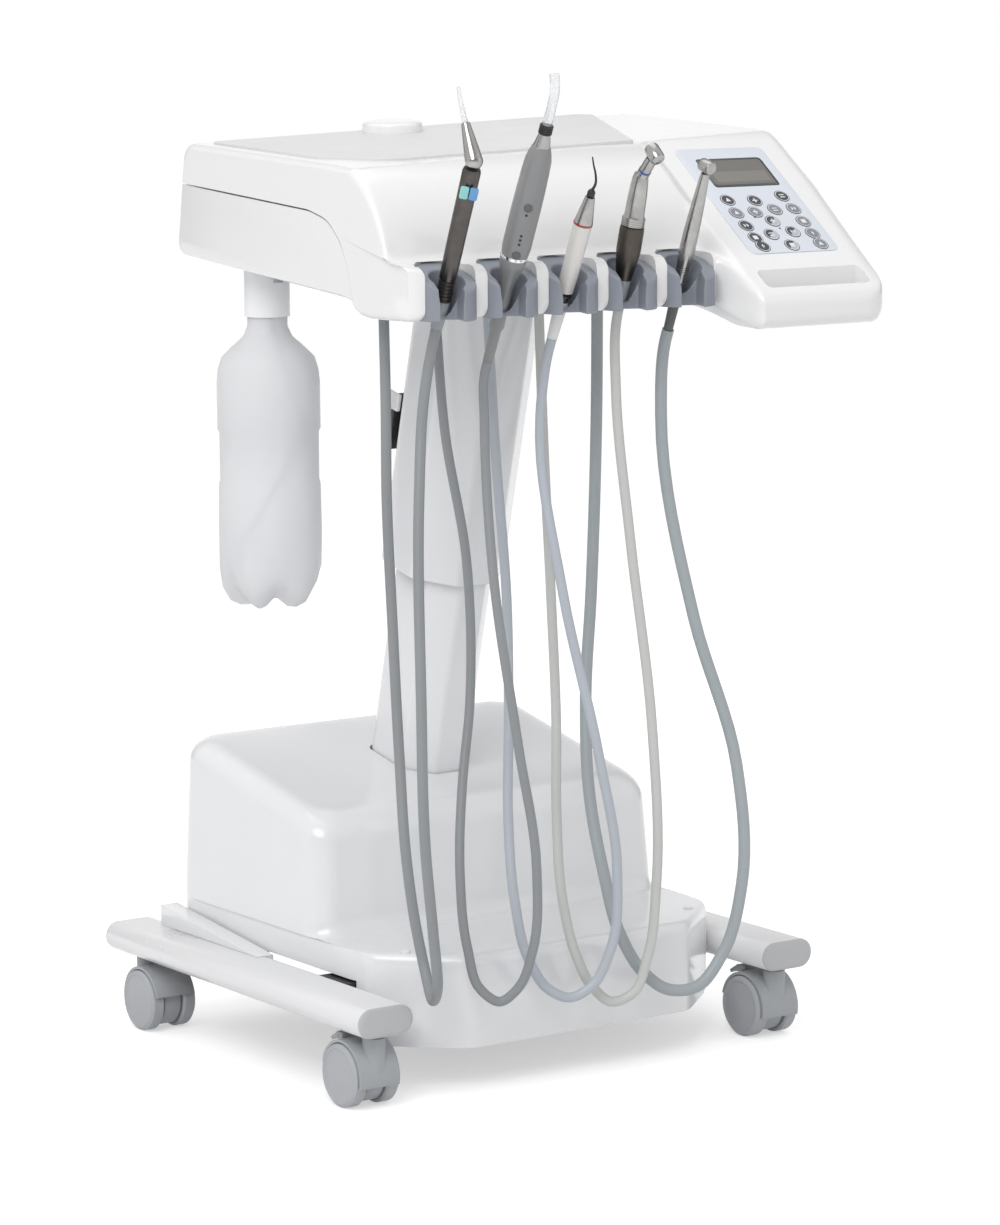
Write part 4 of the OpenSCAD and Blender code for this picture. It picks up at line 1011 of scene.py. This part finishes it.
class DENTAL_OT_head(bpy.types.Operator):
    """Lid with the console, the tub under it, the work surface and the blanking cap"""
    bl_idname = "dental.head"
    bl_label = "Head"

    def execute(self, context):
        seam = sizes().seam / MM
        lid = solid(head_skin)
        tub = solid(head_skin)
        combine(lid, solid(prism, below_seam(0), ALONG_X, -175, 138))
        combine(tub, solid(prism, below_seam(seam), ALONG_X, HEAD_LEFT + 0.7, 137.8), "INTERSECT")
        for part in (lid, tub):
            combine(part, solid(self.cuts))
        combine(lid, solid(fillet_prism, shifted(rounded_rectangle(104, 17, 5), *HANDLE_AT),
                           move(0, 0, 0), 560, 680, 0.1))
        combine(lid, solid(prism, shifted(rounded_rectangle(89.4, 131.4, 7), *KEYPAD_AT), PAD, -0.2, 20))
        combine(lid, solid(prism, shifted(rounded_rectangle(66, 36, 3), *DISPLAY_AT), PAD, -12, 20))
        settle(lid, "lid", "lift", "shell", ["head_top_shell", "console_housing"])
        settle(tub, "tub", "lift", "shell", ["head_lower_shell"])

        tray = solid(fillet_prism, rounded([
            (-156, 60, 10), (-156, -100, 30), (-120, -151, 34), (114, -150, 3), (219, 52, 6), (212, 64, 6)]),
            ROOF, -3, 1.5, 0.4)
        settle(tray, "tray", "lift", "tray", ["tray_panel"])
        cap = solid(self.cap)
        settle(cap, "post_cap", "lift", "shell", ["post_socket_cap"])
        return {"FINISHED"}

    def cuts(self, bm):
        for x in HOLDER_X:
            prism(bm, circle(HOLDER_RADIUS + 0.3, 64), move(x, HOLDER_Y, 0), 560, SEAT_TOP)
        prism(bm, circle(23), COLUMN, 380, 440)
        prism(bm, circle(12), BOTTLE, 600, 660)
        for x in OUTLET_X:
            prism(bm, circle(6.2), move(x, OUTLET_Y, 0), 600, 640)

    def cap(self, bm):
        lathe(bm, [(0, 0.3), (25, 0.3), (25, 6)] + arc(21.8, 6.6, 3.2, 0, 70, 6)[1:]
              + [(20.6, 10.0), (16, 10.6), (8, 11.0), (0, 11.1)], ROOF @ move(6, 38, 0))


# ---- console panel ----

KEYS_DARK = [(16, 66), (42, 64), (72, 68), (15, 34), (15, 19), (16, 8.5)]
KEYS_GREY = [(15, 50), (34, 50), (55, 52), (74, 52), (74, 36), (74, 21), (74, 8)]
KEYS_HALF = [(44, 38), (33, 22), (56, 24), (45, 8)]
# Generic marks on the keys, as outlines in millimetres about the key's middle
MARKS = [
    [[(-2.4, -1.8), (2.4, -1.8), (0, 2.6)]],
    [[(-2.6, -0.6), (2.6, -0.6), (2.6, 0.6), (-2.6, 0.6)], [(-0.6, 0.7), (0.6, 0.7), (0.6, 2.6), (-0.6, 2.6)],
     [(-0.6, -2.6), (0.6, -2.6), (0.6, -0.7), (-0.6, -0.7)]],
    [[(-2.4, 0.8), (2.4, 0.8), (2.4, 1.9), (-2.4, 1.9)],
     [(-2.4, -1.9), (2.4, -1.9), (2.4, -0.8), (-2.4, -0.8)]],
    [[(-2.4, -2.2), (-0.4, 0), (-2.4, 2.2)], [(0.4, -2.2), (2.4, 0), (0.4, 2.2)]],
    [[(-2.2, -2.2), (2.2, -2.2), (2.2, 2.2), (-2.2, 2.2)]],
    [[(-0.8, -2.8), (1.6, 0.3), (0.2, 0.4), (0.9, 2.8), (-1.6, -0.3), (-0.2, -0.4)]],
]


class DENTAL_OT_panel(bpy.types.Operator):
    """Keypad film, keys with generic marks, and the display"""
    bl_idname = "dental.panel"
    bl_label = "Panel"

    def execute(self, context):
        film = solid(fillet_prism, shifted(rounded_rectangle(89, 131, 6), *KEYPAD_AT), PAD, 0, 0.8, 0.3,
                     False)
        combine(film, solid(prism, shifted(rounded_rectangle(66, 36, 3), *DISPLAY_AT), PAD, -1, 4))
        keys = solid(self.keys)
        film = join(film, keys)
        settle(film, "keypad", "lift",
               ["film", "key_dark", "key_grey", "key_light", "print_white", "bezel"], ["keypad_overlay"],
               flip=False)
        screen = solid(self.display)
        settle(screen, "display", "lift",
               ["bezel", "screen", "screen_field"], ["display_module"])
        return {"FINISHED"}

    def keys(self, bm):
        """Each key: a dark edge, a pale ring, its field and a mark, each a little above the last."""
        number = 0
        for group, index in ((KEYS_DARK, 1), (KEYS_GREY, 2), (KEYS_HALF, 3)):
            for x, y in group:
                place = PAD @ move(x, y, 0)
                self.layer(bm, fillet_prism_part, 5, circle(6.8, 32), place, 0.7, 1.2, 0.3)
                self.layer(bm, prism, 4, circle(6.1, 32), place, 1.1, 1.24)
                self.layer(bm, prism, index, circle(5.5, 32), place, 1.2, 1.28)
                if index == 3:
                    self.layer(bm, prism, 1, arc(0, 0, 5.5, 45, 225, 16), place, 1.22, 1.31)
                for outline in MARKS[number % len(MARKS)]:
                    self.layer(bm, prism, 4, outline, place, 1.25, 1.36)
                number += 1
        for x, y in ((30, 44), (46, 29)):
            self.layer(bm, prism, 1, [(-1.6, 0), (0.6, -1.4), (0.6, 1.4)], PAD @ move(x, y, 0), 0.7, 0.86)

    def layer(self, bm, build, index, *values):
        before = set(bm.faces)
        build(bm, *values)
        for face in set(bm.faces) - before:
            face.material_index = index

    def display(self, bm):
        place = PAD @ move(*DISPLAY_AT, 0)
        self.layer(bm, fillet_prism_part, 0, rounded_rectangle(65.4, 35.4, 4), place, -6, 1.1, 0.4)
        self.layer(bm, prism, 1, rounded_rectangle(60.5, 30.5, 2.5), place, 1.0, 1.16)
        self.layer(bm, prism, 2, shifted(rounded_rectangle(54, 13, 1), 0, -5.5), place, 1.1, 1.2)


def fillet_prism_part(bm, outline, place, low, high, radius):
    """A rounded prism among other geometry: its top edge is cut by a ring of its own."""
    rings = []
    for tight, height in ((0, low), (0, high - radius), (radius * 0.3, high - radius * 0.3), (radius, high)):
        size = 1 - tight / max(max(abs(x), abs(y)) for x, y in outline)
        rings.append([place @ Vector((x * size, y * size, height)) for x, y in outline])
    stack(bm, rings)


# ---- holders ----

# Side view of what is cut from above the sloping rim
OVER_RIM = [(-300, 614.8), (-200, 661.4), (-200, 700), (-300, 700)]


class DENTAL_OT_holders(bpy.types.Operator):
    """Five holders with tapered bores, open in front"""
    bl_idname = "dental.holders"
    bl_label = "Holders"

    def execute(self, context):
        parts = []
        for x, axis in zip(HOLDER_X, AXES):
            part = solid(prism, circle(HOLDER_RADIUS, 64), move(x, HOLDER_Y, 0), HOLDER_LOW, HOLDER_HIGH)
            combine(part, solid(prism, OVER_RIM, ALONG_X, x - 40, x + 40))
            combine(part, solid(self.bore, axis))
            combine(part, solid(self.mouth, x))
            parts.append(remesh(part, sizes().holder_voxel, 5))
        whole = join(parts[0], *parts[1:])
        settle(whole, "holders", "lift", "holder", ["instrument_holders"], angle=70)
        return {"FINISHED"}

    def bore(self, bm, place):
        lathe(bm, [(0, -50), (8, -50), (8, -20), (9.2, -13), (11, -4), (13.4, 3), (15, 8), (15, 40),
                   (0, 40)], place)

    def mouth(self, bm, x):
        prism(bm, rounded([(-9, 600), (-9, 620, 20), (-13, 652), (13, 652), (9, 620, 20), (9, 600)]),
              move(x, HOLDER_Y, 0) @ turn(-20, "Z") @ ALONG_Y, -40, 0)


# ---- instruments ----

CHARGE_BEADS = 14  # contacts in the curing light's ring


def tint(part, index):
    """Picks a part's material among those it is settled with."""
    for face in part.data.polygons:
        face.material_index = index
    return part


def turned(place, *stretches):
    """Joined stretches turned about place's Z. Each is the index of its finish, a profile that gets
    closed to the axis, and a frame of its own where it has one."""
    parts = []
    for index, profile, *own in stretches:
        outline = [(0, profile[0][1])] + profile + [(0, profile[-1][1])]
        parts.append(tint(solid(lathe, outline, own[0] if own else place), index))
    return join(*parts)


def grooved(radius, low, high, pitch, depth=0.5):
    """Profile of a gripped length: rings of the given pitch."""
    line = []
    for i in range(round((high - low) / pitch)):
        at = low + pitch * i
        line += [(radius, at + pitch * 0.1), (radius, at + pitch * 0.6),
                 (radius - depth, at + pitch * 0.68), (radius - depth, at + pitch)]
    return line


class DENTAL_OT_instruments(bpy.types.Operator):
    """Syringe, curing light, scaler, motor with contra-angle, and turbine"""
    bl_idname = "dental.instruments"
    bl_label = "Instruments"

    def execute(self, context):
        for build in (self.syringe, self.curing_light, self.scaler, self.motor, self.turbine):
            build()
        return {"FINISHED"}

    def syringe(self):
        body = turned(
            SYRINGE, (1, [(4.6, -34), (5.4, -24), (6.0, -12), (6.0, -11)]),
            (2, grooved(6.5, -11, 7, 3.0, 0.7)),
            (0, [(6.4, 7), (6.7, 8), (6.9, 40), (7.1, 84), (7.1, 96), (6.4, 98)]))
        settle(body, "syringe_handle", "syringe", ["syringe_metal", "relief", "knurl"],
               ["syringe_body"])
        bend = SYRINGE @ move(0, 0, 104.2)
        cone = bend @ turn(-44, "X")
        elbow = turned(
            bend, (0, arc(0, 0, 6.9, -50, 60, 10)), (0, [(6.7, 1), (6.6, 4), (3.5, 29.4), (2.8, 30)], cone))
        line = smooth_line([
            cone @ Vector((0, y, z)) for y, z in ((0, 29.5), (0, 40), (-0.4, 50), (-1.4, 58))])
        join(elbow, tint(solid(tube, line, 2.3, 16, 1.4), 1))
        settle(elbow, "syringe_tip", "nozzle", ["nozzle_metal", "clear"], ["syringe_nozzle"])
        for name, body_name, slot, look in (
                ("syringe_air_button", "air_button", "button_turquoise", "turquoise"),
                ("syringe_water_button", "water_button", "button_blue", "button_blue")):
            settle(node_copy(name, 0.5, 3), name + "_skin", body_name, look, [name])

    def curing_light(self):
        body = turned(
            LIGHT,
            (0, [(4, -66), (4.6, -40), (5.6, -37.5), (6, -36), (5.4, -12), (5.2, -2.5), (7.3, 8.5),
                 (9.4, 14.4), (10.3, 17.4), (10.5, 22.4)]),
            (1, [(10.2, 22.4), (10.2, 25.2)]),
            (0, [(10.4, 25.2), (11.2, 32), (11.4, 60), (11.2, 80), (10.8, 95), (10.2, 105), (9, 110.4),
                 (7.2, 115.6), (6.8, 116.2)]),
            (2, [(6.7, 116.2), (4.6, 126), (4.2, 126.2)]))
        for at in (62.9, 45.5, 42.0, 38.3):
            place = LIGHT @ turn(-30, "Z") @ move(0, 0, at) @ turn(90, "X")
            join(body, tint(solid(prism, circle(1.1, 16), place, 10.4, 11.45), 3))
        for k in range(CHARGE_BEADS):
            place = LIGHT @ turn(k * 360 / CHARGE_BEADS, "Z") @ move(0, -10.2, 23.8)
            join(body, tint(solid(ball, 0.95, place, 12), 1))
        settle(body, "light_body", "curing_light", ["light", "chrome", "light_metal", "black"],
               ["curing_light_body"])
        guide = turned(LIGHT, (1, grooved(5.3, 126.4, 133.6, 1.8, 0.6)))
        line = smooth_line([LIGHT @ Vector(p) for p in (
            (0, 0, 133), (0, 0, 152), (0, 0.5, 159), (0, 3, 166.5), (0, 6.4, 172.6))])
        join(guide, solid(tube, line, 3.8, 20))
        settle(guide, "light_rod", "guide", ["clear", "black"], ["light_guide"], angle=30)
        for name, body_name in (("light_button", "on_button"), ("light_mode_button", "mode_button")):
            settle(node_copy(name, 0.6, 3), name + "_skin", body_name, "light_key", [name])

    def scaler(self):
        body = turned(
            SCALER, (3, [(4.2, -50), (5.4, -20), (4.6, -18)]), (4, [(4.4, -18), (4.4, -9.6)]),
            (0, [(5.6, -9.6), (6.6, -9), (6.9, 0), (7.2, 30), (7.5, 48.6)]), (2, [(7.6, 48.8), (7.6, 50.3)]),
            (1, [(7.4, 50.4), (7.2, 52), (3.9, 71.6), (3.7, 72)]),
            (4, [(4.45, -13), (6.0, -12.6), (6.0, -11.4), (4.45, -11)]))
        settle(body, "scaler_handle", "scaler",
               ["scaler", "scaler_metal", "red", "pale_tip", "black"], ["scaler_body"])
        tip = turned(SCALER, (0, [(2.2, 72.4), (3.1, 73), (3.1, 76), (2.4, 77.4), (1.5, 78.4)]))
        line = smooth_line([SCALER @ Vector(p) for p in (
            (0, 0, 77), (0, -2, 85), (0, 1, 91), (0, 6, 96), (0, 10, 101))])
        join(tip, solid(tube, line, 1.2, 10, 0.55))
        settle(tip, "scaler_hook", "scaler", "black", ["scaler_tip"])

    def motor(self):
        body = turned(
            MOTOR, (1, [(4.2, -26), (5.2, -10), (6.0, -2)]),
            (0, [(6.0, -2), (7.2, 4), (9.0, 16), (9.7, 22), (9.7, 39), (9.2, 41.6)]))
        settle(body, "motor_skin", "motor", ["motor_metal", "relief"], ["air_motor"])
        neck = MOTOR @ move(0, 0, 80) @ turn(28, "X")
        drum = neck @ move(0, 0, 27) @ turn(90, "X")
        head = turned(
            MOTOR, (0, grooved(9.2, 42.4, 49, 1.65, 0.5)),
            (0, [(8.6, 49), (7.9, 51), (7.5, 66), (7.0, 74), (6.2, 81), (5.2, 84.4)]),
            (0, [(5.3, -4), (5.0, 8)], neck), (0, [(4.8, 9.6), (4.6, 22)], neck),
            (1, [(5.05, 8), (5.05, 9.6)], neck),
            (0, [(4.4, -7.4), (5.4, -6.9), (6.0, -5.6), (6.0, 4.6), (5.2, 6.6), (3.6, 7.4)], drum),
            (0, [(2.0, -8.2), (2.6, -7.2)], drum))
        settle(head, "contra_skin", "contra_angle", ["contra_metal", "blue"], ["contra_angle"])

    def turbine(self):
        drum = TURBINE @ move(0, 0, 91) @ turn(86, "X")
        body = turned(
            TURBINE, (1, [(3.8, -48), (4.7, -12), (4.9, -7)]), (0, [(4.3, -7), (4.3, 2)]),
            (0, grooved(5.4, 2, 6.8, 1.6, 0.5)),
            (0, [(5.4, 6.8), (6.3, 18), (6.3, 34), (5.2, 60), (4.0, 80), (3.4, 85)]),
            (0, [(4.0, -6.6), (4.9, -6.2), (5.4, -5), (5.4, 4.2), (4.6, 6), (3.2, 6.6)], drum),
            (0, [(1.8, -7.2), (2.2, -6.4)], drum))
        settle(body, "turbine_skin", "turbine", ["turbine_metal", "light_key"],
               ["turbine_handpiece"])


# ---- bottle ----

BOTTLE_RADIUS = 42
FOOT_LOBES, VALLEY_RISE, VALLEY_DRAW = 5, 10, 0.09


class DENTAL_OT_bottle(bpy.types.Operator):
    """Frosted water bottle with its cap"""
    bl_idname = "dental.bottle"
    bl_label = "Bottle"

    def execute(self, context):
        bottle = solid(self.bottle)
        settle(bottle, "bottle_skin", "bottle", "bottle", ["water_bottle"])
        cap = solid(self.cap)
        settle(cap, "cap_skin", "lift", "cap_white", ["bottle_cap"])
        return {"FINISHED"}

    def bottle(self, bm):
        r = BOTTLE_RADIUS
        lathe(bm, [
            (14.5, 609), (16.4, 609), (16.4, 585), (20, 577), (30, 568), (38, 560), (r - 1, 550), (r, 540),
            (r, 502), (r - 1.5, 499), (r - 1.5, 460), (r - 0.5, 457), (r, 420), (r, 388), (r - 2, 372),
            (r - 8, 361), (r - 16, 357), (18, 357), (8, 362), (0, 363), (0, 365), (8, 364), (18, 359),
            (r - 16, 359), (r - 9.2, 362.6), (r - 3.6, 373), (r - 1.6, 388), (r - 1.6, 420), (r - 2.1, 456),
            (r - 3.1, 461), (r - 3.1, 498), (r - 1.6, 503), (r - 1.6, 540), (r - 2.6, 549), (37, 558.4),
            (29, 566.4), (18.6, 576), (14.5, 585), (14.5, 609)], BOTTLE, 100)
        # The foot stands on lobes, with valleys between them that fade out upwards and to the middle
        for vert in bm.verts:
            low = min(max((394 - vert.co.z) / 32, 0), 1)
            away = vert.co - BOTTLE.translation
            wide = min(math.hypot(away.x, away.y) / 22, 1)
            valley = (0.5 - 0.5 * math.cos(FOOT_LOBES * math.atan2(away.y, away.x))) * low * wide
            vert.co.z += VALLEY_RISE * valley
            vert.co.x -= away.x * VALLEY_DRAW * valley
            vert.co.y -= away.y * VALLEY_DRAW * valley

    def cap(self, bm):
        lathe(bm, [(0, 600), (3.5, 600), (3.5, 612), (17, 612), (17, 593), (18.5, 593), (18.5, 630),
                   (17, 634), (9, 634.5), (9, 641), (0, 641)], BOTTLE, 64)


# ---- casters ----

WHEEL_RADIUS, WHEEL_TRAIL = 25, 19


class DENTAL_OT_casters(bpy.types.Operator):
    """Four twin-wheel casters with hoods, and the front pair's brake tabs"""
    bl_idname = "dental.casters"
    bl_label = "Casters"

    def execute(self, context):
        for corner, x, y, turned in (
                ("fl", -RAIL_X, CASTER_FRONT, 0), ("fr", RAIL_X, CASTER_FRONT, 0),
                ("rl", -RAIL_X, CASTER_REAR, 180), ("rr", RAIL_X, CASTER_REAR, 180)):
            place = move(x, y, 0) @ turn(turned, "Z")
            wheels = solid(self.wheels, place)
            settle(wheels, "wheels_" + corner + "_skin", "wheels_" + corner,
                   ["tread", "tread_side"], ["caster_wheels_" + corner])
            settle(node_copy("caster_hood_" + corner, 0.9, 3), "hood_" + corner, "caster_" + corner,
                   "caster", ["caster_hood_" + corner])
        for corner in ("fl", "fr"):
            settle(node_copy("brake_lever_" + corner, 0.7, 3), "brake_" + corner + "_skin", "brake_" + corner,
                   "caster", ["brake_lever_" + corner])
        return {"FINISHED"}

    def wheels(self, bm, place):
        axle = place @ move(0, WHEEL_TRAIL, WHEEL_RADIUS) @ turn(90, "Y")
        lathe(bm, [(0, -20), (3, -20), (3, 20), (0, 20)], axle, 24)
        for side in (-1, 1):
            profile = [
                (0, 9), (23.5, 9), (WHEEL_RADIUS, 10.5), (WHEEL_RADIUS, 19), (23, 20.8), (21.6, 21.2),
                (20.6, 20.4), (18.8, 20.2), (12, 21.2), (0, 21.6)]
            lathe(bm, [(r, side * h) for r, h in profile], axle)


# ---- inner pieces: finishes on copies of the construction nodes ----

INNER = {
    "chassis_frame": ("base", "frame_dark", "frame"), "mast_tube": ("base", "steel", "steel"),
    "glide_bushes": ("base", "trim_grey", "pale_tip"), "power_supply": ("base", "alu", "alu"),
    "air_regulator": ("base", "alu", "alu"), "gas_spring_cylinder": ("base", "black_plastic", "black"),
    "gas_spring_rod": ("lift", "chrome", "chrome"), "sliding_tube": ("lift", "steel", "chrome"),
    "valve_block": ("lift", "alu", "alu"), "control_board": ("lift", "board_green", "board"),
    "hose_outlets": ("lift", "trim_grey", "relief"), "dip_tube": ("lift", "dip_blue", "dip"),
}
INNER_EDGE = 0.4


class DENTAL_OT_inner(bpy.types.Operator):
    """Frame, column tubes, supply parts and the other pieces inside the covers"""
    bl_idname = "dental.inner"
    bl_label = "Inner parts"

    def execute(self, context):
        for name, (body, slot, look) in INNER.items():
            width = 0 if name == "dip_tube" else INNER_EDGE
            settle(node_copy(name, width), name + "_skin", body, look, [name])
        return {"FINISHED"}


class DENTAL_PT_panel(bpy.types.Panel):
    bl_label = "Dental unit"
    bl_idname = "DENTAL_PT_panel"
    bl_space_type = "VIEW_3D"
    bl_region_type = "UI"
    bl_category = "Dental unit"

    def draw(self, context):
        for operator in OPERATORS:
            self.layout.operator(operator.bl_idname)
        for group in (context.scene.dental_unit_sizes, context.scene.dental_unit_colours):
            box = self.layout.box()
            for name in group.bl_rna.properties.keys():
                if name not in ("rna_type", "name"):
                    box.prop(group, name)


OPERATORS = (
    DENTAL_OT_stage, DENTAL_OT_hoses, DENTAL_OT_base, DENTAL_OT_column, DENTAL_OT_head, DENTAL_OT_panel,
    DENTAL_OT_holders, DENTAL_OT_instruments, DENTAL_OT_bottle, DENTAL_OT_casters, DENTAL_OT_inner)
CLASSES = (DentalUnitColours, DentalUnitSizes) + OPERATORS + (DENTAL_PT_panel,)


def register():
    for cls in CLASSES:
        bpy.utils.register_class(cls)
    bpy.types.Scene.dental_unit_colours = PointerProperty(type=DentalUnitColours)
    bpy.types.Scene.dental_unit_sizes = PointerProperty(type=DentalUnitSizes)


def unregister():
    del bpy.types.Scene.dental_unit_colours
    del bpy.types.Scene.dental_unit_sizes
    for cls in reversed(CLASSES):
        bpy.utils.unregister_class(cls)


def main():
    register()
    make_finishes()
    bpy.ops.dental.stage()
    bpy.ops.dental.hoses()
    bpy.ops.dental.base()
    bpy.ops.dental.column()
    bpy.ops.dental.head()
    bpy.ops.dental.panel()
    bpy.ops.dental.holders()
    bpy.ops.dental.instruments()
    bpy.ops.dental.bottle()
    bpy.ops.dental.casters()
    bpy.ops.dental.inner()


if __name__ == "__main__":
    main()
